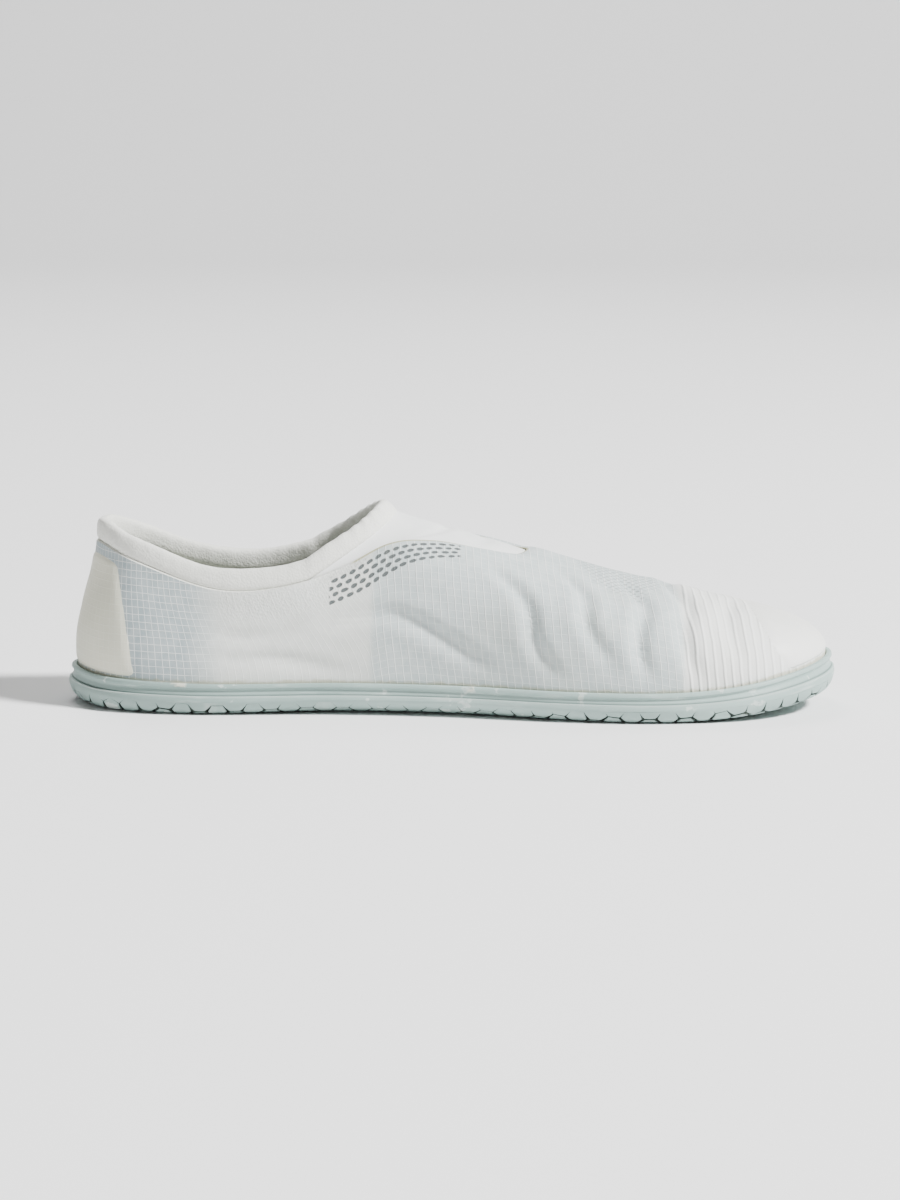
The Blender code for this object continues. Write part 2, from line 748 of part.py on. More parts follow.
def make_tongue():
    """The smooth stretch tongue that closes the throat from beneath."""
    under = -(WALL + FIT_GAP)
    bm = bmesh.new()
    rows = []
    front = topline_curve(INNER)[-1]
    back = cuff_centre() + [TONGUE_SETBACK, 0.0, -2 * FIT_GAP]
    leaves = CUFF_LEAVES + TONGUE_SETBACK / polyline_length(topline_curve(INNER))
    for j in range(TONGUE_ROWS + 1):
        place = j / TONGUE_ROWS
        share = column_share(leaves + (1 - leaves) * place)
        ends = [off_upper(side, share, 1.0, under) for side in (INNER, OUTER)]
        edges = []
        for side in (INNER, OUTER):
            length = polyline_length(upper_column(side, share, np.linspace(0, 1, 12)))
            edges.append(off_upper(side, share, 1 - TONGUE_UNDERLAP / length, under))
        centre = back + (front + [0.0, 0.0, under] - back) * place
        arc = instep_arc(ends[0], ends[1], centre, TONGUE_ACROSS + 1)
        rows.append(np.concatenate([edges[:1], arc, edges[1:]]))
    for here, there in zip(rows, rows[1:]):
        for k in range(len(here) - 1):
            add_face(bm, [here[k], there[k], there[k + 1], here[k + 1]])
    return thicken(new_object("tongue", finish_mesh("tongue", bm), (0.82, 0.83, 0.82), 0.7), TONGUE_THICKNESS)


def main():
    """Builds the shoe."""
    for item in list(bpy.data.objects):
        bpy.data.objects.remove(item)
    make_outsole()
    make_insole()
    make_upper()
    make_tongue()
    make_cuff()
    counter = Cover(0, COUNTER_SIDE, COUNTER_TOP, COUNTER_HEIGHT, COUNTER_TOP_GAP)
    make_overlay("heel_counter", counter, (0.70, 0.72, 0.62))
    toe_cap = Cover(1, TOE_CAP_SIDE, TOE_CAP_TOP, TOE_CAP_HEIGHT, 0.0)
    make_overlay("toe_cap", toe_cap, (0.84, 0.85, 0.83))


main()
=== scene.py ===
"""Looks of a pale barefoot slip-on shoe for the left foot, dressed round its CAD frame.

Metres, +Z up. +X runs from heel to toe and -Y is the inner side of the foot.
"""

import logging
from collections.abc import Iterable
from dataclasses import dataclass
from enum import Enum
from functools import cached_property
from math import ceil, pi, radians, sqrt

import bmesh
import bpy
import numpy as np
from mathutils import Matrix, Vector
from mathutils.kdtree import KDTree


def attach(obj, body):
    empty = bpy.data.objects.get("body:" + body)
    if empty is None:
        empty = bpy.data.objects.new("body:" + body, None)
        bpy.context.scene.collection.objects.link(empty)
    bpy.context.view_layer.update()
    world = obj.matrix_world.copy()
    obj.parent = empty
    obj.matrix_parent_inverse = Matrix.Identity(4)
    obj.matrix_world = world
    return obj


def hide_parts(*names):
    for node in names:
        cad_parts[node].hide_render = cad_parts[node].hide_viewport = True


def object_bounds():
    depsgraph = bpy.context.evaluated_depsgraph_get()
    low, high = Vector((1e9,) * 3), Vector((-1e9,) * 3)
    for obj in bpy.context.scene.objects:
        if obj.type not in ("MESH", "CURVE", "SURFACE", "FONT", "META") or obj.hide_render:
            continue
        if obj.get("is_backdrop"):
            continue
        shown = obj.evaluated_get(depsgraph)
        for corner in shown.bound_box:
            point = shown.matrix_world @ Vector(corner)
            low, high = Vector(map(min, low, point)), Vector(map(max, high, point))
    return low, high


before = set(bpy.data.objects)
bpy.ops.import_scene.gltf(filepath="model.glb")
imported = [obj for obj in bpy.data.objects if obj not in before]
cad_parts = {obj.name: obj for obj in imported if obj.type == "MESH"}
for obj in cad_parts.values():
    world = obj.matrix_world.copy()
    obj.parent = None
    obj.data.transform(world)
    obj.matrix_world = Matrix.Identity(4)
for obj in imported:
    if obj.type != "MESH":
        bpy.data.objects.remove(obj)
CAD_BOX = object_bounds()

LOG = logging.getLogger("shoe")
Array = np.ndarray
Finish = bpy.types.Material
Tone = tuple[float, float, float, float]

# The sole's widest outline: shares of its length from the heel and of its width from the middle
OUTLINE = (
    ((0.000, 0.010), (0.050, -0.235), (0.170, -0.335), (0.350, -0.330), (0.500, -0.372), (0.640, -0.462))
    + ((0.760, -0.500), (0.885, -0.452), (0.970, -0.300), (1.000, -0.090), (0.972, 0.140), (0.890, 0.345))
    + ((0.765, 0.472), (0.640, 0.500), (0.500, 0.445), (0.350, 0.388), (0.170, 0.352), (0.050, 0.250))
)

# The sole's side along each edge: share of the length, then shares of the rim, step and tuck
INNER_SIDE = np.array(
    [(0.00, 1.16, 1.14, 0.00), (0.18, 1.04, 1.03, 0.06), (0.38, 1.06, 1.06, 0.90), (0.52, 1.04, 1.04, 0.80)]
    + [(0.68, 1.00, 1.00, 0.10), (0.86, 1.06, 1.06, 0.00), (1.00, 1.26, 1.26, 0.00)]
)
OUTER_SIDE = np.array(
    [(0.00, 1.16, 1.14, 0.00), (0.18, 1.02, 1.02, 0.00), (0.38, 1.00, 1.00, 0.22), (0.52, 0.98, 0.98, 0.14)]
    + [(0.68, 0.98, 0.98, 0.00), (0.86, 1.05, 1.05, 0.00), (1.00, 1.26, 1.26, 0.00)]
)

# The side's profile from the contact edge up to the ledge: shares of the edge's round and of the
# tuck inward, and of the lower band's height
PROFILE = np.array([(1, 1, 0), (0.52, 0.55, 0.09), (0.20, 0.24, 0.31), (0, 0, 0.72), (0.04, 0, 0.97)])

# How the upper's columns climb, from the heel to the toe: share round the sole, share of the cut
# edge, rise, reach, end slope in degrees and outward bulge
COLUMNS = np.array(
    [(0.00, 0.00, 0.42, 0.30, 86, 1.0), (0.12, 0.13, 0.40, 0.30, 84, 0.9), (0.26, 0.32, 0.36, 0.30, 80, 0.3)]
    + [(0.40, 0.52, 0.40, 0.30, 68, 0.2), (0.52, 0.67, 0.48, 0.34, 48, 0.4), (0.66, 0.81, 0.55, 0.4, 34, 0.7)]
    + [(0.80, 0.91, 0.54, 0.46, 24, 0.7), (0.91, 0.965, 0.48, 0.54, 19, 0.4), (1.0, 1.0, 0.42, 0.6, 17, 0.3)]
)

# The cuff from the back of the heel to the instep: its lean in degrees and share of its height
CUFF = np.array([(0.00, 4, 1.00), (0.30, 10, 1.00), (0.65, 18, 1.00), (0.85, 34, 0.95), (1.00, 46, 0.95)])


class Side(Enum):
    """The two sides of the foot, by the sign of their Y."""

    INNER = -1
    OUTER = 1


class End(Enum):
    """The two ends of the shoe, by the sign of their X."""

    HEEL = -1
    TOE = 1


def srgb(red: int, green: int, blue: int) -> Tone:
    """Turns a screen colour into linear light."""
    shares = np.array([red, green, blue]) / 255
    linear = np.where(shares <= 0.04045, shares / 12.92, ((shares + 0.055) / 1.055) ** 2.4)
    return (*(float(value) for value in linear), 1.0)


def smooth_read(places: Array, values: Array, at: Array) -> Array:
    """Reads a table along a smooth curve through its rows.

    Args:
        places: Where the rows stand.
        values: What they say.
        at: Where to read.

    Returns:
        The values there.
    """
    slopes = np.gradient(values, places)
    at = np.clip(np.asarray(at, float), places[0], places[-1])
    row = np.clip(np.searchsorted(places, at, side="right") - 1, 0, len(places) - 2)
    step = places[row + 1] - places[row]
    t = (at - places[row]) / step
    start = (1 + 2 * t) * (1 - t) ** 2 * values[row] + t * (1 - t) ** 2 * step * slopes[row]
    end = t * t * (3 - 2 * t) * values[row + 1] + t * t * (t - 1) * step * slopes[row + 1]
    return start + end


def smooth_rise(value: Array, low: float, high: float) -> Array:
    """A soft climb from 0 at low to 1 at high."""
    t = np.clip((np.asarray(value, float) - low) / (high - low), 0, 1)
    return t * t * (3 - 2 * t)


def travelled(points: Array) -> Array:
    """Distance along an open line at each of its points."""
    lengths = np.linalg.norm(np.diff(points, axis=0), axis=1)
    return np.concatenate([[0.0], np.cumsum(lengths)])


def walk(points: Array, shares: Array, width: int = 3) -> Array:
    """Reads an open line at shares of its length.

    Args:
        points: The line's points, with any further columns after their coordinates.
        shares: Where to read, from 0 to 1.
        width: How many of the columns are coordinates.

    Returns:
        One row of all the columns for each share.
    """
    reached = travelled(points[:, :width])
    return np.column_stack([np.interp(shares, reached / reached[-1], column) for column in points.T])


def curve_through(rows: Array, per_span: int) -> Array:
    """Runs a smooth curve through points; the first and last only steer its ends.

    Args:
        rows: The points.
        per_span: Steps between neighbouring points.

    Returns:
        The curve's points.
    """
    spans = len(rows) - 3
    steps = np.linspace(0, spans, spans * per_span + 1)
    row = np.minimum(steps.astype(int), spans - 1)
    t = (steps - row)[:, None]
    before, here, after, later = (rows[row + k] for k in range(4))
    bend = (2 * before - 5 * here + 4 * after - later) * t**2
    twist = (3 * here - before - 3 * after + later) * t**3
    return 0.5 * (2 * here + (after - before) * t + bend + twist)


def unit(vectors: Array) -> Array:
    """The vectors at a length of one."""
    return vectors / np.maximum(np.linalg.norm(vectors, axis=-1, keepdims=True), 1e-12)


def over_bed(inner: Array, outer: Array, across: int) -> Array:
    """Joins the rows of both sides across the foot, with even steps over the bed between them."""
    outer = outer[:, ::-1]
    share = np.linspace(0, 1, across + 1)[1:-1, None]
    bed = inner[:, -1:] * (1 - share) + outer[:, :1] * share
    return np.concatenate([inner, bed, outer], axis=1)


@dataclass(frozen=True)
class Last:
    """The shoe's form, from the same sizes as its solids."""

    length: float = 0.276
    width: float = 0.104
    gap: float = 0.0003
    rim: float = 0.0108
    step: float = 0.0068
    step_depth: float = 0.0010
    rim_thickness: float = 0.0020
    footbed: float = 0.0046
    edge_round: float = 0.0056
    toe_spring: float = 0.0060
    heel_bevel: float = 0.0010
    arch_tuck: float = 0.0085
    wall: float = 0.0018
    heel_lean: float = 0.0075
    vamp: float = 0.1100
    collar_width: float = 0.0600
    throat_width: float = 0.0340
    heel_top: float = 0.0660
    ankle: float = 0.0520
    instep: float = 0.0650
    throat: float = 0.0560
    heel_bulge: float = 0.0016
    cuff_height: float = 0.0080

    @property
    def rim_inset(self) -> float:
        """Plan distance from the outline to the rim's inner face."""
        return self.step_depth + self.rim_thickness

    @property
    def foot_inset(self) -> float:
        """Plan distance from the outline to the upper's outer face at the rim."""
        return self.rim_inset + self.gap

    @cached_property
    def outline(self) -> dict[Side, tuple[Array, Array]]:
        """Points and outward normals of each edge, from the back of the heel to the toe tip."""
        rows = np.array(OUTLINE)
        loop = curve_through(np.vstack([rows[-1:], rows, rows[:2]]), 40)[:-1]
        low, high = loop.min(axis=0), loop.max(axis=0)
        loop = ((loop - low) / (high - low) - 0.5) * [self.length, self.width]
        heel, toe = int(loop[:, 0].argmin()), int(loop[:, 0].argmax())
        inner = np.roll(loop, -heel, axis=0)[: (toe - heel) % len(loop) + 1]
        outer = np.roll(loop, -toe, axis=0)[: (heel - toe) % len(loop) + 1][::-1]
        found = {}
        for side, points in ((Side.INNER, inner), (Side.OUTER, outer)):
            tangent = np.gradient(points, axis=0)
            normal = -side.value * np.column_stack([tangent[:, 1], -tangent[:, 0]])
            normal[0] = (-1.0, 0.0)
            normal[-1] = (1.0, 0.0)
            found[side] = (points, unit(normal))
        return found

    def edge(self, side: Side, shares: Array) -> tuple[Array, Array]:
        """Points and outward normals of the outline at shares of one edge's length."""
        found = walk(np.hstack(self.outline[side]), shares, 2)
        return found[:, :2], unit(found[:, 2:])

    def ring(self, side: Side, shares: Array, inward: Array, height: Array) -> Array:
        """Points at distances inside the outline and heights over the lift, by share and row."""
        plan, normal = self.edge(side, shares)
        flat = plan[:, None] - normal[:, None] * inward[..., None]
        lifted = height + self.lift(plan[:, 0])[:, None]
        return np.concatenate([flat, lifted[..., None]], axis=2)

    def lift(self, x: Array) -> Array:
        """How far the underside rises off the ground at the toe and the heel."""
        share = np.clip(np.asarray(x) / self.length + 0.5, 0, 1)
        toe = self.toe_spring * (np.clip(share - 0.76, 0, None) / 0.24) ** 2
        return toe + self.heel_bevel * (np.clip(0.07 - share, 0, None) / 0.07) ** 2

    def side_value(self, side: Side, column: int, x: Array) -> Array:
        """Reads a column of the sole's side table."""
        table = INNER_SIDE if side is Side.INNER else OUTER_SIDE
        share = np.clip(np.asarray(x) / self.length + 0.5, 0, 1)
        return smooth_read(table[:, 0], table[:, column], share)

    def rim_height(self, side: Side, x: Array) -> Array:
        """Height of the sole's rim over its lift."""
        return self.rim * self.side_value(side, 1, x)

    def step_height(self, side: Side, x: Array) -> Array:
        """Height of the ledge between the sole's two bands over its lift."""
        return self.step * self.side_value(side, 2, x)

    def tuck(self, side: Side, x: Array) -> Array:
        """How far the contact edge is drawn in under the arch."""
        return self.arch_tuck * np.clip(self.side_value(side, 3, x), 0, 1)

    @cached_property
    def topline(self) -> dict[Side, Array]:
        """Each side of the upper's cut edge, from the back of the heel to the front of the throat."""
        collar, gap, low = self.collar_width, self.throat_width, self.cuff_height
        rows = [
            (0.000, 0.00 * collar, self.heel_top - low),
            (0.022, 0.19 * collar, self.heel_top - low),
            (0.100, 0.36 * collar, 0.65 * self.heel_top + 0.35 * self.ankle - low),
            (0.280, 0.47 * collar, self.ankle - low),
            (0.430, 0.49 * collar, self.ankle - 0.9 * low),
            (0.560, 0.44 * collar, 0.64 * self.ankle + 0.36 * self.instep - 0.7 * low),
            (0.680, 0.66 * gap, 0.93 * self.instep),
            (0.780, 0.54 * gap, 0.42 * self.throat + 0.58 * self.instep),
            (0.890, 0.47 * gap, 0.75 * self.throat + 0.25 * self.instep),
            (0.970, 0.30 * gap, 0.99 * self.throat),
            (1.000, 0.00 * gap, self.throat),
        ]
        start = -self.length / 2 + self.foot_inset + self.heel_lean
        end = self.length / 2 - self.vamp
        found = {}
        for side in Side:
            line = np.array([(start + (end - start) * x, side.value * y, z) for x, y, z in rows])
            mirrored = line[[1, -2]] * [1, -1, 1]
            found[side] = curve_through(np.vstack([mirrored[:1], line, mirrored[1:]]), 24)
        return found

    def columns(self, side: Side, shares: Array, steps: Array) -> Array:
        """Climbs of the upper's outer face from the rim to the cut edge.

        Args:
            side: The side of the foot.
            shares: Where the columns stand round the sole, from the heel to the toe.
            steps: Shares of the climb.

        Returns:
            Points by column and step.
        """
        shares = np.asarray(shares, float)
        plan, normal = self.edge(side, shares)
        foot = np.zeros((len(shares), 3))
        foot[:, :2] = plan - normal * self.foot_inset
        foot[:, 2] = self.rim_height(side, plan[:, 0]) + self.lift(plan[:, 0])
        given = (smooth_read(COLUMNS[:, 0], COLUMNS[:, k], shares) for k in range(1, 6))
        at, rise, reach, slope, bulge = given
        cut = walk(self.topline[side], at)
        out = unit(foot[:, :2] - cut[:, :2] + normal * 0.25 * self.collar_width)
        chord = np.linalg.norm(cut - foot, axis=1)
        low = foot.copy()
        low[:, :2] += normal * (bulge * self.heel_bulge)[:, None]
        low[:, 2] += rise * (cut[:, 2] - foot[:, 2])
        high = cut.copy()
        high[:, :2] += (reach * chord * np.cos(np.radians(slope)))[:, None] * out
        high[:, 2] -= reach * chord * np.sin(np.radians(slope))
        t = np.asarray(steps, float)[None, :, None]
        ends = (1 - t) ** 3 * foot[:, None] + t**3 * cut[:, None]
        return ends + 3 * t * (1 - t) ** 2 * low[:, None] + 3 * t * t * (1 - t) * high[:, None]

    def column_share(self, topline_share: float) -> float:
        """The share round the sole whose column meets the cut edge at a given share."""
        low, high = 0.0, 1.0
        for _ in range(40):
            middle = 0.5 * (low + high)
            if float(smooth_read(COLUMNS[:, 0], COLUMNS[:, 1], middle)) < topline_share:
                low = middle
            else:
                high = middle
        return low

    def off_upper(self, side: Side, share: float, climb: float, out: float) -> Array:
        """A point at a distance outside the upper's outer face, inside it where out is negative."""
        nudge = 0.004
        low, high = max(climb - nudge, 0.0), min(climb + nudge, 1.0)
        back, ahead = max(share - nudge, 0.0), min(share + nudge, 1.0)
        column = self.columns(side, [share], [low, climb, high])[0]
        pair = self.columns(side, [back, ahead], [climb])[:, 0]
        across = pair[1] - pair[0]
        if share in (0.0, 1.0):
            turn = 1 if (share == 1.0) == (side is Side.INNER) else -1
            across = np.array([0.0, abs(across[1]) * turn, 0.0])
        normal = np.cross(across, column[2] - column[0]) * -side.value
        return column[1] + unit(normal) * out

    def nearest(self, side: Side, plan: Array) -> tuple[Array, Array]:
        """Shares of an edge's length next to plan points, and how far inside the edge they lie."""
        points, _ = self.outline[side]
        tree = KDTree(len(points))
        for index, (x, y) in enumerate(points):
            tree.insert((x, y, 0.0), index)
        tree.balance()
        found = np.array([tree.find((x, y, 0.0))[1] for x, y in plan])
        tangent = unit(np.gradient(points, axis=0))
        reached = travelled(points)
        ahead = np.einsum("ij,ij->i", plan - points[found], tangent[found])
        share = np.clip((reached[found] + ahead) / reached[-1], 0, 1)
        foot, normal = self.edge(side, share)
        return share, np.einsum("ij,ij->i", foot - plan, normal)

    def wrapped(self, plan: Array, into: Array, end: float) -> tuple[Array, Array]:
        """Rolls a flat sheet over the sole's underside and up its rounded edge.

        Args:
            plan: Points of the sheet, true to plan on the underside.
            into: How deep each point lies in the rubber.
            end: The row of the side's profile at which the sheet ends.

        Returns:
            The points, and how far each lies up the rounded edge, from 0 to 1 at the sheet's end.
        """
        steps, nudge, ease = np.linspace(0, 3, 61), 0.0003, 0.022
        inward, base, lower = (smooth_read(np.arange(5.0), PROFILE[:, k], steps) for k in range(3))
        found, up = np.empty((len(plan), 3)), np.zeros(len(plan))
        traced = {side: self.nearest(side, plan) for side in Side}
        feet = {side: self.edge(side, share)[0] for side, (share, _) in traced.items()}
        away = {side: np.linalg.norm(foot - plan, axis=1) for side, foot in feet.items()}
        inner = away[Side.INNER] < away[Side.OUTER]
        for side in Side:
            own = np.flatnonzero(inner == (side is Side.INNER))
            share, depth = (values[own] for values in traced[side])
            foot, normal = self.edge(side, share)
            tucks, ledges = self.tuck(side, foot[:, 0]), self.step_height(side, foot[:, 0])
            over = self.edge_round + tucks - depth
            near = 1 - smooth_rise(-over, 0.0, ease)
            lifts = self.lift(plan[own, 0] + normal[:, 0] * (self.edge_round + tucks) * near)
            found[own] = np.column_stack([plan[own], lifts + into[own]])
            for k in np.flatnonzero(over > 0):
                line = np.column_stack([inward * self.edge_round + base * tucks[k], lower * ledges[k]])
                reached = travelled(line)
                last = np.interp(end, steps, reached)
                at = min(over[k], last)
                spots = [max(at - nudge, 0.0), at, at + nudge]
                here, (drawn, height), there = walk(line, np.array(spots) / reached[-1], 2)
                run = unit(there - here)
                flat = foot[k] - normal[k] * (drawn + into[own[k]] * run[1])
                found[own[k]] = (*flat, height - into[own[k]] * run[0] + self.lift(foot[k, 0]))
                up[own[k]] = min(over[k] / last, 1.0)
        return found, up


class Value:
    """A shader value that adds, takes away, multiplies and divides like a number."""

    def __init__(self, graph: "Graph", socket: bpy.types.NodeSocket) -> None:
        """Keeps the value's graph and its socket."""
        self.graph = graph
        self.socket = socket

    def __add__(self, other: "Value | float") -> "Value":
        """The sum."""
        return self.graph.math("ADD", self, other)

    def __sub__(self, other: "Value | float") -> "Value":
        """The difference."""
        return self.graph.math("SUBTRACT", self, other)

    def __rsub__(self, other: float) -> "Value":
        """The difference from a number."""
        return self.graph.math("SUBTRACT", other, self)

    def __mul__(self, other: "Value | float") -> "Value":
        """The product."""
        return self.graph.math("MULTIPLY", self, other)

    def __truediv__(self, other: "Value | float") -> "Value":
        """The quotient."""
        return self.graph.math("DIVIDE", self, other)


Feed = Value | float | tuple


class Graph:
    """Places and links the nodes of one node tree."""

    def __init__(self, tree: bpy.types.NodeTree) -> None:
        """Keeps the tree."""
        self.tree = tree

    def feed(self, socket: bpy.types.NodeSocket, value: Feed) -> None:
        """Links a socket to a value, or sets its own."""
        if isinstance(value, Value):
            self.tree.links.new(value.socket, socket)
        else:
            socket.default_value = value

    def node(self, kind: str, feeds: dict[str | int, Feed], **settings: str) -> bpy.types.Node:
        """Adds a node.

        Args:
            kind: Its type.
            feeds: What its sockets take, by name or number.
            **settings: Its own settings.

        Returns:
            The node.
        """
        node = self.tree.nodes.new(kind)
        for name, value in settings.items():
            setattr(node, name, value)
        for socket, value in feeds.items():
            self.feed(node.inputs[socket], value)
        return node

    def put(self, kind: str, feeds: dict[str | int, Feed], out: str | int = 0, **settings: str) -> Value:
        """Adds a node in the same way and gives the value of one of its outputs."""
        return Value(self, self.node(kind, feeds, **settings).outputs[out])

    def math(self, operation: str, first: Feed, second: Feed = 0.0) -> Value:
        """Result of a sum on one or two values."""
        return self.put("ShaderNodeMath", {0: first, 1: second}, operation=operation)

    def move(self, operation: str, first: Feed, second: Feed) -> Value:
        """Result of a sum on two vectors."""
        return self.put("ShaderNodeVectorMath", {0: first, 1: second}, operation=operation)

    def top(self, first: Value, *others: Value) -> Value:
        """The highest of several values."""
        for other in others:
            first = self.math("MAXIMUM", first, other)
        return first

    def rise(self, value: Feed, low: Feed, high: Feed, start: float = 0.0, end: float = 1.0) -> Value:
        """A soft climb of a value from start at low to end at high."""
        feeds = {"Value": value, "From Min": low, "From Max": high, "To Min": start, "To Max": end}
        return self.put("ShaderNodeMapRange", feeds, interpolation_type="SMOOTHSTEP")

    def noise(self, vector: Feed, scale: Feed, detail: float = 2.0) -> Value:
        """Even noise from about 0.3 to 0.7."""
        return self.put("ShaderNodeTexNoise", {"Vector": vector, "Scale": scale, "Detail": detail})

    def gaps(self, vector: Feed, scale: float) -> Value:
        """Distance to the nearest of many scattered points."""
        return self.put("ShaderNodeTexVoronoi", {"Vector": vector, "Scale": scale}, "Distance")

    def layered(self, colour: Feed, *layers: tuple[Value, Tone]) -> Value:
        """A colour with further tones laid over it in order, each by its own share."""
        for share, tone in layers:
            colour = self.put("ShaderNodeMix", {0: share, 6: colour, 7: tone}, 2, data_type="RGBA")
        return colour

    def split(self, vector: Feed) -> list[Value]:
        """The three parts of a vector."""
        return [Value(self, part) for part in self.node("ShaderNodeSeparateXYZ", {0: vector}).outputs]

    def join(self, x: Feed, y: Feed, z: Feed = 0.0) -> Value:
        """A vector from its three parts."""
        return self.put("ShaderNodeCombineXYZ", {0: x, 1: y, 2: z})

    def length(self, x: Feed, y: Feed) -> Value:
        """The length of a flat vector."""
        return self.put("ShaderNodeVectorMath", {0: self.join(x, y)}, "Value", operation="LENGTH")

    def chart(self, name: str) -> Value:
        """A UV map of the piece."""
        return self.put("ShaderNodeUVMap", {}, uv_map=name)

    def place(self) -> Value:
        """The point in the shoe's own frame."""
        return self.put("ShaderNodeTexCoord", {}, "Object")

    def use(self, group: bpy.types.NodeTree, **feeds: Feed) -> list[Value]:
        """Places a shared effect, feeds its inputs by name and gives its outputs."""
        node = self.tree.nodes.new("ShaderNodeGroup")
        node.node_tree = group
        for name, value in feeds.items():
            self.feed(node.inputs[name], value)
        return [Value(self, output) for output in node.outputs]


class Effects:
    """Shader node groups that several finishes share."""

    def __init__(self) -> None:
        """Builds every group once."""
        self.band = self._band()
        self.lines = self._lines()
        self.holes = self._holes()
        self.cells = self._cells()
        self.grain = self._grain()
        self.marks = self._marks()

    @staticmethod
    def _start(name: str, inputs: str, outputs: str) -> tuple[Graph, list[Value], bpy.types.NodeInputs]:
        """Opens a group.

        Args:
            name: The group's name.
            inputs: Its inputs' names: vector is a vector, and the others are values.
            outputs: Its outputs' names, all values.

        Returns:
            Its graph, its inputs and the sockets that its outputs are fed to.
        """
        tree = bpy.data.node_groups.new(name, "ShaderNodeTree")
        for title in inputs.split():
            kind = "NodeSocketVector" if title == "vector" else "NodeSocketFloat"
            tree.interface.new_socket(title, in_out="INPUT", socket_type=kind)
        for title in outputs.split():
            tree.interface.new_socket(title, in_out="OUTPUT", socket_type="NodeSocketFloat")
        graph = Graph(tree)
        entry = tree.nodes.new("NodeGroupInput")
        leave = tree.nodes.new("NodeGroupOutput")
        return graph, [Value(graph, entry.outputs[title]) for title in inputs.split()], leave.inputs

    def _band(self) -> bpy.types.NodeTree:
        """A soft-edged mask of a range of one value."""
        graph, given, out = self._start("soft band", "value low high soft", "mask")
        value, low, high, soft = given
        enter = graph.rise(value, low - soft, low + soft)
        leave = graph.rise(value, high - soft, high + soft, 1.0, 0.0)
        graph.feed(out["mask"], enter * leave)
        return graph.tree

    def _lines(self) -> bpy.types.NodeTree:
        """Thin raised threads at an even pitch each way, as in ripstop cloth and ribs."""
        names = "vector pitch_u pitch_v width wander"
        graph, given, out = self._start("thread lines", names, "along_u along_v")
        vector, pitch_u, pitch_v, width, wander = given
        shift = (graph.noise(vector, 90.0) - 0.5) * wander
        u, v, _ = graph.split(vector)
        for value, pitch, title in ((u, pitch_u, "along_u"), (v, pitch_v, "along_v")):
            gap = graph.math("PINGPONG", value + shift, pitch * 0.5)
            graph.feed(out[title], graph.rise(gap, 0.0, width, 1.0, 0.0))
        return graph.tree

    def _holes(self) -> bpy.types.NodeTree:
        """Staggered rows of soft oval holes."""
        graph, given, out = self._start("hole rows", "vector pitch_u pitch_v half_u half_v", "holes")
        vector, pitch_u, pitch_v, half_u, half_v = given
        u, v, _ = graph.split(vector)
        rows = v / pitch_v
        stagger = graph.math("MODULO", graph.math("FLOOR", rows), 2.0) * 0.5 * pitch_u
        across = graph.math("PINGPONG", u + stagger, pitch_u * 0.5)
        along = (graph.math("FRACT", rows) - 0.5) * pitch_v
        away = graph.length(across / half_u, along / half_v)
        graph.feed(out["holes"], graph.rise(away, 0.72, 1.2, 1.0, 0.0))
        return graph.tree

    def _cells(self) -> bpy.types.NodeTree:
        """The lines between hexagon cells."""
        graph, (vector, size, line), out = self._start("hexagon cells", "vector size line", "lines")
        sizes = graph.join(size, size, size)
        scaled = graph.move("DIVIDE", graph.move("ADD", vector, (1.0, 1.0, 1.0)), sizes)
        unit = (1.0, sqrt(3.0), 1.0)
        half = (0.5, sqrt(3.0) / 2, 0.5)
        reaches = []
        for shift in ((0.0, 0.0, 0.0), half):
            turned = graph.move("MODULO", graph.move("ADD", scaled, shift), unit)
            local = graph.move("SUBTRACT", turned, half)
            x, y, _ = graph.split(graph.move("ABSOLUTE", local, local))
            reaches.append(graph.top(x, x * 0.5 + y * sqrt(0.75)))
        near = 0.5 - line
        edge = graph.math("MINIMUM", *reaches)
        graph.feed(out["lines"], graph.rise(edge, near - 0.03, near + 0.03))
        return graph.tree

    def _grain(self) -> bpy.types.NodeTree:
        """The small relief of a knitted or woven face, and its uneven tone."""
        graph, (vector, fine, coarse), out = self._start("cloth grain", "vector fine coarse", "height tone")
        broad = graph.noise(vector, coarse)
        graph.feed(out["height"], graph.noise(vector, fine, 3.0) + broad * 0.5)
        graph.feed(out["tone"], graph.rise(broad, 0.3, 0.7))
        return graph.tree

    def _marks(self) -> bpy.types.NodeTree:
        """Scattered scuffs and smears."""
        graph, (vector, scale, cover), out = self._start("scuff marks", "vector scale cover", "mask")
        both = graph.noise(vector, scale, 4.0) + graph.noise(vector, scale * 4.3, 3.0) * 0.35
        level = 1.0 - cover
        graph.feed(out["mask"], graph.rise(both, level, level + 0.04))
        return graph.tree


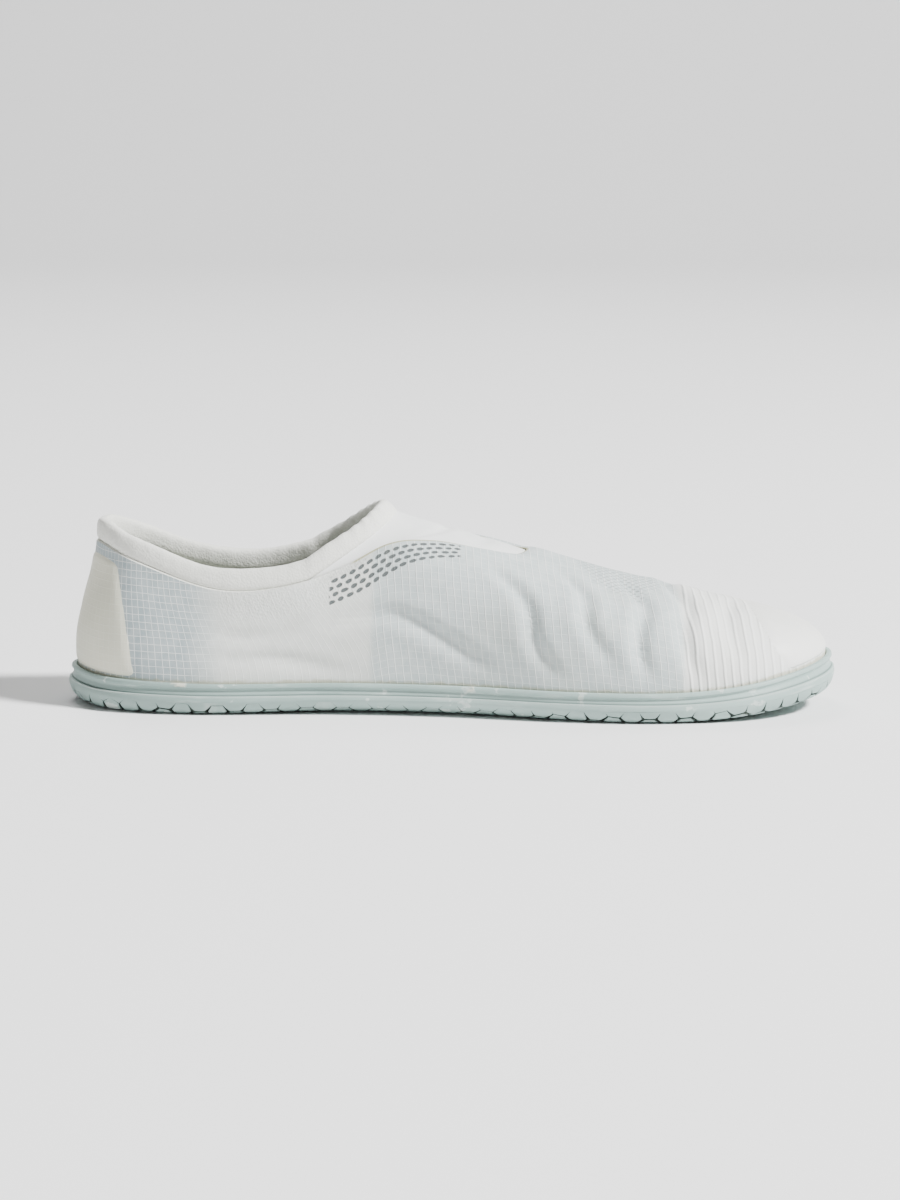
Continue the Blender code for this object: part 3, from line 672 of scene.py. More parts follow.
@dataclass(frozen=True)
class Surface:
    """How a finish's shader is set where nothing varies."""

    roughness: float = 0.85
    specular: float = 0.3
    sheen: float = 0.0
    coat: float = 0.0

    def start(self, name: str) -> tuple[Finish, Graph, bpy.types.Node]:
        """Makes a material with its shader set.

        Args:
            name: The material's name.

        Returns:
            The material, its graph and its shader.
        """
        material = bpy.data.materials.new(name)
        material.use_nodes = True
        shader = material.node_tree.nodes["Principled BSDF"]
        shader.inputs["Roughness"].default_value = self.roughness
        shader.inputs["Specular IOR Level"].default_value = self.specular
        shader.inputs["Sheen Weight"].default_value = self.sheen
        shader.inputs["Sheen Roughness"].default_value = 0.5
        shader.inputs["Coat Weight"].default_value = self.coat
        shader.inputs["Coat Roughness"].default_value = 0.35
        return material, Graph(material.node_tree), shader

    @staticmethod
    def dress(graph: Graph, shader: bpy.types.Node, colour: Value, height: Value, depth: float) -> None:
        """Gives a shader its colour, and a relief of a height from 0 to 1 and a depth in metres."""
        relief = graph.put("ShaderNodeBump", {"Height": height, "Distance": depth, "Strength": 1.0})
        graph.feed(shader.inputs["Base Color"], colour)
        graph.feed(shader.inputs["Normal"], relief)


@dataclass(frozen=True)
class Rubber:
    """Matte rubber with pale scuffs, smears of dried glue under the rim, a painted shade line in the hollow
    above the ledge and a painted highlight on the lower band's lip.
    """

    body: Tone = srgb(162, 183, 178)
    # Pale tone of real scuffs and rubbing, also used for the painted highlight on the lip
    pale: Tone = srgb(203, 213, 208)
    deep: Tone = srgb(146, 167, 162)
    # The dark tone of the painted shade line above the ledge
    line: Tone = srgb(96, 110, 106)
    glue: Tone = srgb(222, 221, 203)

    def make(self, name: str, effects: Effects) -> Finish:
        """Makes the rubber."""
        material, graph, shader = Surface(0.5, 0.4).start(name)
        place, side = graph.place(), graph.chart("side")
        under_rim = graph.rise(graph.split(side)[1], 0.0014, 0.0042, 1.0, 0.0)
        above_ledge = graph.split(graph.chart("ledge"))[0]
        tone = graph.rise(graph.noise(place, 14.0, 3.0), 0.36, 0.66)
        streaks = graph.put("ShaderNodeMapping", {"Vector": side, "Scale": (18.0, 160.0, 1.0)})
        rubbed = graph.rise(graph.noise(streaks, 3.0, 4.0), 0.56, 0.72)
        scuffs = graph.use(effects.marks, vector=place, scale=95.0, cover=0.185)[0]
        smear = graph.use(effects.marks, vector=place, scale=48.0, cover=0.19)[0] * under_rim
        # Painted shade: a dark band in the hollow just above the ledge
        ledge_shade = graph.use(effects.band, value=above_ledge, low=0.00045, high=0.00105, soft=0.0003)[0]
        # Painted highlight: a pale band on the lower band's lip, just below the ledge
        lip_highlight = graph.use(effects.band, value=above_ledge, low=-0.0008, high=0.0, soft=0.0004)[0]
        colour = graph.layered(
            self.deep,
            (tone, self.body),
            (rubbed * 0.45, self.pale),
            (scuffs * 0.8, self.pale),
            (smear * 0.85, self.glue),
            (ledge_shade * 0.6, self.line),
            (lip_highlight * 0.4, self.pale),
        )
        graph.feed(shader.inputs["Roughness"], graph.rise(graph.noise(place, 45.0, 3.0), 0.3, 0.7, 0.42, 0.6))
        relief = graph.noise(place, 1500.0) + smear * 3.0 + graph.noise(place, 160.0) * 1.6
        Surface.dress(graph, shader, colour, relief, 0.00006)
        return material


@dataclass(frozen=True)
class Groove:
    """The floors and walls of the tread's grooves: a dark tone that is partly painted shade of the recess and
    partly dirt, with paler dust.
    """

    # Dark groove tone: partly painted shade of the recess, partly dirt
    body: Tone = srgb(78, 87, 83)
    dust: Tone = srgb(112, 119, 113)

    def make(self, name: str) -> Finish:
        """Makes the groove finish."""
        material, graph, shader = Surface(0.7, 0.2).start(name)
        place = graph.place()
        dusty = graph.rise(graph.noise(place, 220.0, 3.0), 0.52, 0.72)
        colour = graph.layered(self.body, (dusty, self.dust))
        Surface.dress(graph, shader, colour, graph.noise(place, 1200.0), 0.00008)
        return material


@dataclass(frozen=True)
class ShellCloth:
    """The upper's outer cloth: ribs over the toes, ripstop at the midfoot and heel, knit and mesh.

    Its zones are shares of the shoe's length from the heel.
    """

    ribs: Tone = srgb(229, 230, 226)
    ripstop: Tone = srgb(184, 195, 195)
    knit: Tone = srgb(212, 215, 210)
    heel: Tone = srgb(158, 172, 176)
    # White of the real threads and grain tone, also used for the painted highlight on the rib crests
    thread: Tone = srgb(244, 245, 241)
    # Dark grey for the vents and slots: painted shade of the hollow seen through them
    hole: Tone = srgb(92, 98, 98)
    # Yellowish tone for random greying and for the band above the rim, which is partly painted shade
    stain_and_shade: Tone = srgb(176, 172, 138)
    # Olive tone of the line along the throat's cut edge: partly its tint, partly painted shade
    edge_tint_and_shade: Tone = srgb(164, 161, 120)
    length: float = 0.276
    heel_to: float = 0.185
    midfoot_from: float = 0.40
    ribs_from: float = 0.797
    rib_pitch: float = 0.0031
    thread_pitch: float = 0.0026

    def make(self, name: str, effects: Effects) -> Finish:
        """Makes the cloth."""
        material, graph, shader = Surface(0.82, 0.25, sheen=0.15).start(name)
        place, cloth, rim = graph.place(), graph.chart("cloth"), graph.chart("rim")
        along, down, _ = graph.split(graph.chart("edge"))
        waver = (graph.noise(place, 40.0) - 0.5) * 0.012
        share = graph.split(place)[0] / self.length + (waver + 0.5)

        def zone(low: float, high: float, soft: float = 0.006) -> Value:
            """The mask of a stretch of the shoe's length."""
            return graph.use(effects.band, value=share, low=low, high=high, soft=soft)[0]

        ribs, middle = zone(self.ribs_from, 1.1), zone(self.midfoot_from, self.ribs_from)
        heel = zone(-0.1, self.heel_to, 0.034)
        feeds = {"pitch_u": self.rib_pitch, "pitch_v": 0.5, "width": 0.00085, "wander": 0.0010}
        rib_lines = graph.use(effects.lines, vector=cloth, **feeds)[0] * ribs
        pitch = self.thread_pitch
        feeds = {"pitch_u": pitch, "pitch_v": pitch, "width": 0.00024, "wander": 0.0006}
        flat_u, flat_v = graph.use(effects.lines, vector=cloth, **feeds)
        round_u, round_v = graph.use(effects.lines, vector=rim, **feeds)
        checks = graph.top(
            graph.top(flat_u, flat_v * 0.4) * middle,
            graph.top(round_u, round_v) * heel,
            round_u * zone(0.20, self.midfoot_from, 0.012) * 0.45,
        )

        feeds = {"pitch_u": 0.0026, "pitch_v": 0.0016, "half_u": 0.00070, "half_v": 0.00046}
        vents = graph.use(effects.holes, vector=cloth, **feeds)[0]
        oval = graph.length((share - 0.722) / 0.066, graph.split(cloth)[1] / 0.0300)
        oval = oval + graph.noise(place, 70.0) * 0.5
        vents = vents * graph.rise(oval, 0.92, 1.30, 1.0, 0.0)
        uneven = (graph.noise(place, 260.0) - 0.5) * 0.0012
        slanted = graph.join(along + uneven + down * 0.45, down + uneven * 0.5)
        feeds = {"pitch_u": 0.0034, "pitch_v": 0.0023, "half_u": 0.00125, "half_v": 0.0007}
        slots = graph.use(effects.holes, vector=slanted, **feeds)[0]
        reach = graph.use(effects.band, value=down, low=0.0019, high=0.0117, soft=0.0002)[0]
        slots = slots * (zone(0.345, 0.512, 0.002) * reach)

        height, tone = graph.use(effects.grain, vector=place, fine=1700.0, coarse=260.0)
        climb = graph.split(rim)[1] + graph.noise(place, 300.0) * -0.0022
        # Painted shade and stain: a yellowish dark band just above the rim, partly the shadow where cloth
        # meets sole, partly glue stain
        rim_stain_and_shade = graph.rise(climb, -0.0010, 0.0002, 0.55, 0.0)
        grey = graph.rise(graph.noise(place, 30.0, 4.0), 0.52, 0.74, 0.0, 0.10)
        # Olive line along the throat's cut edge: partly the edge's tint, partly painted shade where the shell
        # laps over the inset
        edge_tint_and_shade = graph.rise(down, 0.0004, 0.0009, 1.0, 0.0) * zone(0.375, 0.63, 0.004)
        colour = graph.layered(
            self.knit,
            (middle, self.ripstop),
            (heel, self.heel),
            (ribs, self.ribs),
            (tone * 0.16, self.thread),
            (checks * 0.7, self.thread),
            # Painted highlight: the raised rib crests are painted paler
            (rib_lines * 0.75, self.thread),
            # Painted shade inside the vents and slots
            (vents * 0.42, self.hole),
            (slots, self.hole),
            (graph.top(rim_stain_and_shade, grey), self.stain_and_shade),
            (edge_tint_and_shade * 0.85, self.edge_tint_and_shade),
        )

        towel = zone(0.2, self.midfoot_from, 0.02) * graph.rise(down, 0.006, 0.016, 1.0, 0.0)
        loops = graph.gaps(place, 1150.0) * towel
        relief = height * 0.16 + checks * 0.35 + rib_lines + loops * 0.5 - vents * 0.6 - slots * 1.2
        Surface.dress(graph, shader, colour, relief, 0.0003)
        return material


@dataclass(frozen=True)
class PlainCloth:
    """Plain knit or stretch cloth of one tone, with its grain and loops."""

    body: Tone
    shade: Tone
    fine: float = 1600.0
    loops: float = 0.0
    relief: float = 0.0001
    sheen: float = 0.15

    def make(self, name: str, effects: Effects) -> Finish:
        """Makes the cloth."""
        material, graph, shader = Surface(0.85, 0.25, sheen=self.sheen).start(name)
        place = graph.place()
        height, _ = graph.use(effects.grain, vector=place, fine=self.fine, coarse=self.fine / 7)
        tone = graph.rise(graph.noise(place, 60.0, 3.0), 0.3, 0.72)
        colour = graph.layered(self.shade, (tone, self.body))
        if self.loops:
            gaps = graph.gaps(place, self.loops)
            # Painted shade: the hollows between the loops are darkened towards the shade tone
            colour = graph.layered(colour, (graph.rise(gaps, 0.35, 0.75, 0.0, 0.5), self.shade))
            height = height - gaps * 1.6
        Surface.dress(graph, shader, colour, height, self.relief)
        return material


@dataclass(frozen=True)
class Film:
    """Smooth bonded film through which the cloth's threads just show."""

    body: Tone
    shade: Tone
    threads: float = 0.25

    def make(self, name: str, effects: Effects) -> Finish:
        """Makes the film."""
        material, graph, shader = Surface(0.55, 0.35, sheen=0.05, coat=0.06).start(name)
        place = graph.place()
        feeds = {"pitch_u": 0.0026, "pitch_v": 0.0026, "width": 0.00028, "wander": 0.0006}
        lines = graph.top(*graph.use(effects.lines, vector=graph.chart("rim"), **feeds))
        tone = graph.rise(graph.noise(place, 35.0, 3.0), 0.3, 0.7)
        pale = srgb(240, 240, 230)
        colour = graph.layered(self.shade, (tone, self.body), (lines * self.threads, pale))
        graph.feed(shader.inputs["Roughness"], graph.rise(graph.noise(place, 90.0), 0.3, 0.7, 0.48, 0.64))
        height = graph.noise(place, 700.0) + lines * (self.threads * 2)
        Surface.dress(graph, shader, colour, height, 0.00006)
        return material


@dataclass(frozen=True)
class Foam:
    """Foam footbed with soft hexagon cells and darker lines between them."""

    cell: Tone = srgb(142, 150, 138)
    line: Tone = srgb(94, 102, 91)
    size: float = 0.0105

    def make(self, name: str, effects: Effects) -> Finish:
        """Makes the foam."""
        material, graph, shader = Surface(0.9, 0.2, sheen=0.1).start(name)
        place = graph.place()
        lines = graph.use(effects.cells, vector=place, size=self.size, line=0.075)[0]
        height, tone = graph.use(effects.grain, vector=place, fine=1500.0, coarse=300.0)
        colour = graph.layered(self.cell, (tone * 0.25, self.line), (lines * 0.85, self.line))
        Surface.dress(graph, shader, colour, height * 0.15 - lines, 0.0005)
        return material


def lay_grid(points: Array, charts: dict[str, Array], slots: Array | None = None) -> bmesh.types.BMesh:
    """Lays a grid of faces over a table of points, and joins it where its edges meet.

    Args:
        points: Points by column and row.
        charts: UV maps by name, by column and row.
        slots: Material number of each face, by column and row.

    Returns:
        The open bmesh.
    """
    across, up = points.shape[0] - 1, points.shape[1] - 1
    bm = bmesh.new()
    bmesh.ops.create_grid(bm, x_segments=across, y_segments=up, size=1.0)
    layers = {name: bm.loops.layers.uv.new(name) for name in charts}
    places = {}
    for vert in bm.verts:
        places[vert] = (round((vert.co.x + 1) / 2 * across), round((vert.co.y + 1) / 2 * up))
    for face in bm.faces:
        for loop in face.loops:
            at = places[loop.vert]
            for name, layer in layers.items():
                loop[layer].uv = charts[name][at]
        if slots is not None:
            face.material_index = int(slots[tuple(np.min([places[vert] for vert in face.verts], axis=0))])
    for vert in bm.verts:
        vert.co = points[places[vert]]
    bmesh.ops.remove_doubles(bm, verts=bm.verts, dist=2e-6)
    return bm


def make_object(name: str, bm: bmesh.types.BMesh, materials: list[Finish]) -> bpy.types.Object:
    """Makes a smooth-shaded object from a bmesh.

    Args:
        name: The object's name.
        bm: Its bmesh, which is closed.
        materials: Its materials in order.

    Returns:
        The object.
    """
    mesh = bpy.data.meshes.new(name)
    bm.to_mesh(mesh)
    bm.free()
    for material in materials:
        mesh.materials.append(material)
    mesh.shade_smooth()
    mesh.set_sharp_from_angle(angle=radians(38))
    item = bpy.data.objects.new(name, mesh)
    bpy.context.scene.collection.objects.link(item)
    return item


def settle(item: bpy.types.Object, node: str) -> bpy.types.Object:
    """Lets a piece stand for a CAD node, and reports it."""
    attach(item, "root")
    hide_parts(node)
    LOG.info("%s stands for %s with %d faces", item.name, node, len(item.data.polygons))
    return item


def thicken(item: bpy.types.Object, thickness: float) -> None:
    """Gives an open outer face its wall, on the inside."""
    wall = item.modifiers.new("wall", "SOLIDIFY")
    wall.thickness = thickness
    wall.offset = -1.0


def side_shares(count: int) -> Array:
    """Even shares of an edge's length, a little closer at the round heel and toe."""
    even = np.linspace(0, 1, count + 1)
    return even - 0.035 * np.sin(2 * pi * even)


@dataclass(frozen=True)
class Tread:
    """The hexagon tread: bevelled lugs, and grooves that run out up the sole's rounded edge."""

    across: float = 0.0073
    groove: float = 0.0014
    depth: float = 0.0013
    bevel: float = 0.0003
    taper: float = 0.00012
    blunt: float = 0.035
    end: float = 2.86
    beyond: float = 0.0100
    fades_from: float = 0.42

    @property
    def apothems(self) -> Array:
        """Half widths of a cell's rings, from its border and the groove's wall to the middle of its lug."""
        half = self.across / 2
        lug = half - self.groove / 2
        return np.array([half, lug + self.taper, lug, lug - self.bevel, 0.60 * lug])

    @property
    def depths(self) -> Array:
        """How deep those rings lie in the rubber."""
        return np.array([self.depth, self.depth, self.bevel, 0.0, 0.0])

    def lattice(self, last: Last) -> tuple[bmesh.types.BMesh, Array, Array, Array]:
        """The flat cells, wide enough to cover the sole and its rounded edge.

        Args:
            last: The shoe's form.

        Returns:
            The cells with their rings, and each vertex's place, its cell's middle and its ring.
        """
        radius = self.across / sqrt(3)
        columns, rows = ceil(last.length / 3 / radius) + 2, ceil(last.width / self.across) + 2
        pairs = ((i, j) for i in range(-columns, columns + 1) for j in range(-rows, rows + 1))
        keys = [(i, j) for i, j in pairs if (i + j) % 2 == 0]
        middles = np.array(keys) * [1.5 * radius, self.across / 2]
        inner, outer = (last.nearest(side, middles)[1] for side in Side)
        middles = middles[np.where(middles[:, 1] > 0, outer, inner) > -self.beyond]
        bm = bmesh.new()
        bmesh.ops.create_circle(bm, cap_ends=True, segments=6, radius=radius)
        bmesh.ops.rotate(bm, verts=bm.verts, matrix=Matrix.Rotation(pi / 6, 3, "Z"))
        first = [*bm.verts, *bm.edges, *bm.faces]
        for x, y in middles:
            grown = bmesh.ops.duplicate(bm, geom=first)["geom"]
            moved = [item for item in grown if isinstance(item, bmesh.types.BMVert)]
            bmesh.ops.translate(bm, verts=moved, vec=(x, y, 0.0))
        bmesh.ops.delete(bm, geom=first, context="VERTS")
        bmesh.ops.remove_doubles(bm, verts=bm.verts, dist=1e-5)
        bmesh.ops.bisect_edges(bm, edges=bm.edges, cuts=2)
        cells = list(bm.faces)
        centres = {face: face.calc_center_median() for face in cells}
        middle_x, middle_y, ring = (bm.verts.layers.float.new(name) for name in ("x", "y", "ring"))
        for level, (wide, narrow) in enumerate(zip(self.apothems, self.apothems[1:]), 1):
            grown = bmesh.ops.inset_individual(bm, faces=cells, thickness=wide - narrow, use_even_offset=True)
            for face in grown["faces"]:
                face.material_index = 1 if level <= 2 else 0
            for face in cells:
                for vert in face.verts:
                    vert[middle_x], vert[middle_y] = centres[face].xy
                    vert[ring] = level
        poked = bmesh.ops.poke(bm, faces=cells)
        for vert in poked["verts"]:
            vert[middle_x], vert[middle_y] = vert.co.xy
            vert[ring] = len(self.apothems) - 1
        place = np.array([vert.co.xy for vert in bm.verts])
        middle = np.array([(vert[middle_x], vert[middle_y]) for vert in bm.verts])
        return bm, place, middle, np.array([int(vert[ring]) for vert in bm.verts])

    def sheet(self, last: Last) -> bmesh.types.BMesh:
        """The tread rolled round the sole's edge.

        Args:
            last: The shoe's form.

        Returns:
            The sheet, open where it meets the sole's side.
        """
        bm, place, middle, ring = self.lattice(last)
        _, up = last.wrapped(place, np.zeros(len(place)), self.end)
        fade = 1 - smooth_rise(up, self.fades_from, 1.0)
        half, apothem = self.across / 2, self.apothems[ring]
        away = place - middle
        far = np.linalg.norm(away, axis=1)
        corner = ((ring > 0) & (ring < 4) & (far > 1.1 * apothem)) * self.blunt * fade
        wider = np.where(ring < 4, (half - (half - apothem) * fade) / apothem, 1.0)
        scale = np.where(ring > 0, wider * (1 - corner), 1.0)
        flat = np.where((ring > 0)[:, None], middle + away * scale[:, None], place)
        points, up = last.wrapped(flat, self.depths[ring] * fade, self.end)
        outside = {}
        for vert, point, climbed in zip(bm.verts, points, up):
            vert.co = point
            outside[vert] = climbed >= 1.0
        spent = [face for face in bm.faces if all(outside[vert] for vert in face.verts)]
        bmesh.ops.delete(bm, geom=spent, context="FACES")
        lower = [face for face in bm.faces if face.normal.z > 0.5]
        bmesh.ops.reverse_faces(bm, faces=bm.faces if len(lower) > len(bm.faces) / 2 else [])
        self.chart(bm, bm.faces)
        return bm

    @staticmethod
    def chart(bm: bmesh.types.BMesh, faces: Iterable[bmesh.types.BMFace]) -> None:
        """Writes the sole's charts on faces that lie away from its side and its ledge."""
        layers = bm.loops.layers.uv
        side, ledge = (layers.get(name) or layers.new(name) for name in ("side", "ledge"))
        for face in faces:
            for loop in face.loops:
                loop[side].uv = (loop.vert.co.x, 0.05)
                loop[ledge].uv = (-0.05, loop.vert.co.x)


@dataclass
class Outsole:
    """The rubber cup sole: rolled edge, lower band, ledge, hollow upper band, rim and tread."""

    last: Last
    stations: int = 170
    across: int = 8
    tread: Tread = Tread()

    @property
    def steps(self) -> Array:
        """The side's profile rows from the tread's end up to the ledge."""
        return np.array([self.tread.end + 0.03, 2.93, 3.0, 3.35, 3.7, 4.0])

    def profile(self, side: Side, x: Array) -> tuple[Array, Array]:
        """The side's profile from the contact edge to the footbed, for each outline point.

        Args:
            side: The side of the foot.
            x: Where the outline points lie along the shoe.

        Returns:
            Distances inward and heights, by point and row.
        """
        steps = self.steps
        share, base, lower = (smooth_read(np.arange(5.0), PROFILE[:, k], steps) for k in range(3))
        tucked, ledge = self.last.tuck(side, x)[:, None], self.last.step_height(side, x)[:, None]
        rim = self.last.rim_height(side, x)[:, None]
        inward = share * self.last.edge_round + base * tucked
        height = lower * ledge
        mm = 0.001
        lip_in = np.array([0.20, 0.36, 0.60, 0.90, 1.18, 1.26, 1.28]) * mm
        lip_up = np.array([-0.10, 0.02, 0.07, 0.05, -0.02, 0.20, 0.60]) * mm
        wall = np.linspace(0.12, 1, 5)
        wall_in = self.last.step_depth + 0.75 * mm * np.sin(pi * wall) ** 0.8 + 0.02 * mm
        top_in = np.array([1.04, 1.16, 1.42, 1.85, 2.35, 2.80, 3.00]) * mm
        top_up = np.array([-0.85, -0.42, -0.13, -0.01, -0.02, -0.22, -0.60]) * mm
        flat = np.ones_like(ledge)
        span = rim - 0.0013 - (ledge + 0.0006)
        columns = [inward, flat * lip_in, flat * wall_in, flat * top_in, flat * self.last.rim_inset]
        floor = self.last.footbed * flat
        levels = [height, ledge + lip_up, ledge + 0.0006 + wall * span, rim + top_up, floor]
        return np.hstack(columns), np.hstack(levels)

    def table(self) -> tuple[Array, dict[str, Array]]:
        """Points and charts from one end of the tread over the footbed to the other."""
        shares = side_shares(self.stations)
        rows, maps, ledges = {}, {}, {}
        for side in Side:
            plan, _ = self.last.edge(side, shares)
            inward, height = self.profile(side, plan[:, 0])
            rows[side] = self.last.ring(side, shares, inward, height)
            drop = np.linalg.norm(np.diff(rows[side], axis=1), axis=2)
            rim_row = inward.shape[1] - 4
            depth = np.concatenate([np.zeros((len(shares), 1)), np.cumsum(drop, axis=1)], axis=1)
            depth = depth[:, rim_row : rim_row + 1] - depth
            run = np.broadcast_to(travelled(plan)[:, None], depth.shape)
            maps[side] = np.stack([run, depth], axis=2)
            lip_row = len(self.steps) + 2
            ledges[side] = np.stack([depth[:, lip_row : lip_row + 1] - depth, run], axis=2)
        far = np.full((len(shares), self.across - 1, 2), 0.05)
        charts = {}
        for name, found in (("side", maps), ("ledge", ledges)):
            charts[name] = np.concatenate([found[Side.INNER], far, found[Side.OUTER][:, ::-1]], axis=1)
        return over_bed(rows[Side.INNER], rows[Side.OUTER], self.across), charts

    def build(self, rubber: Finish, groove: Finish) -> bpy.types.Object:
        """Builds the sole's side and footbed, and closes them below with the tread.

        Args:
            rubber: Its outer finish.
            groove: The finish inside the grooves.

        Returns:
            The sole.
        """
        points, charts = self.table()
        bm = self.tread.sheet(self.last)
        side = lay_grid(points, charts)
        shell = bpy.data.meshes.new("sole_side")
        side.to_mesh(shell)
        side.free()
        bm.from_mesh(shell)
        bpy.data.meshes.remove(shell)
        rims = [edge for edge in bm.edges if edge.is_boundary]
        joined = bmesh.ops.bridge_loops(bm, edges=rims)["faces"]
        for face in joined:
            face.material_index = 0
        self.tread.chart(bm, joined)
        item = make_object("outsole_rubber", bm, [rubber, groove])
        item.data.set_sharp_from_angle(angle=radians(28))
        return settle(item, "outsole")


@dataclass(frozen=True)
class Crease:
    """A soft trough with a low ridge on each side, drawn on the cloth laid flat.

    Its points are metres along the shoe and metres round it from the middle of the instep,
    negative on the inner side.
    """

    points: tuple[tuple[float, float], ...]
    depth: float
    width: float


# Troughs where the shoe bends and was rolled: across the toes and the instep, and down the sides
CREASES = (
    Crease(((0.088, -0.066), (0.082, -0.048), (0.083, -0.024), (0.078, 0.0), (0.081, 0.014)), 0.0026, 0.0036),
    Crease(((0.071, -0.070), (0.066, -0.052), (0.068, -0.032), (0.060, -0.010)), 0.0024, 0.0034),
    Crease(((0.057, -0.062), (0.048, -0.048), (0.047, -0.032), (0.038, -0.017)), 0.0021, 0.0034),
    Crease(((0.041, -0.072), (0.030, -0.056), (0.026, -0.040), (0.014, -0.026)), 0.0020, 0.0034),
    Crease(((0.018, -0.069), (-0.002, -0.057), (-0.020, -0.049), (-0.042, -0.045)), 0.0019, 0.0038),
    Crease(((-0.026, -0.073), (-0.044, -0.062), (-0.062, -0.055), (-0.084, -0.053)), 0.0013, 0.0036),
    Crease(((-0.060, -0.072), (-0.078, -0.065), (-0.098, -0.061)), 0.0009, 0.0034),
    Crease(((-0.052, -0.041), (-0.066, -0.046), (-0.084, -0.044)), 0.0009, 0.0032),
    Crease(((0.074, 0.064), (0.070, 0.042), (0.066, 0.020), (0.069, 0.004)), 0.0022, 0.0036),
    Crease(((0.053, 0.068), (0.047, 0.047), (0.049, 0.027), (0.041, 0.011)), 0.0020, 0.0034),
    Crease(((0.032, 0.066), (0.024, 0.048), (0.017, 0.031)), 0.0018, 0.0034),
    Crease(((0.008, 0.070), (-0.010, 0.059), (-0.032, 0.051)), 0.0017, 0.0038),
    Crease(((-0.034, 0.072), (-0.054, 0.061), (-0.078, 0.055)), 0.0013, 0.0036),
    Crease(((-0.064, 0.070), (-0.082, 0.062), (-0.100, 0.058)), 0.0009, 0.0034),
    Crease(((0.101, -0.052), (0.098, -0.030), (0.101, -0.008)), 0.0014, 0.0036),
    Crease(((0.097, 0.048), (0.093, 0.027), (0.095, 0.006)), 0.0014, 0.0036),
)


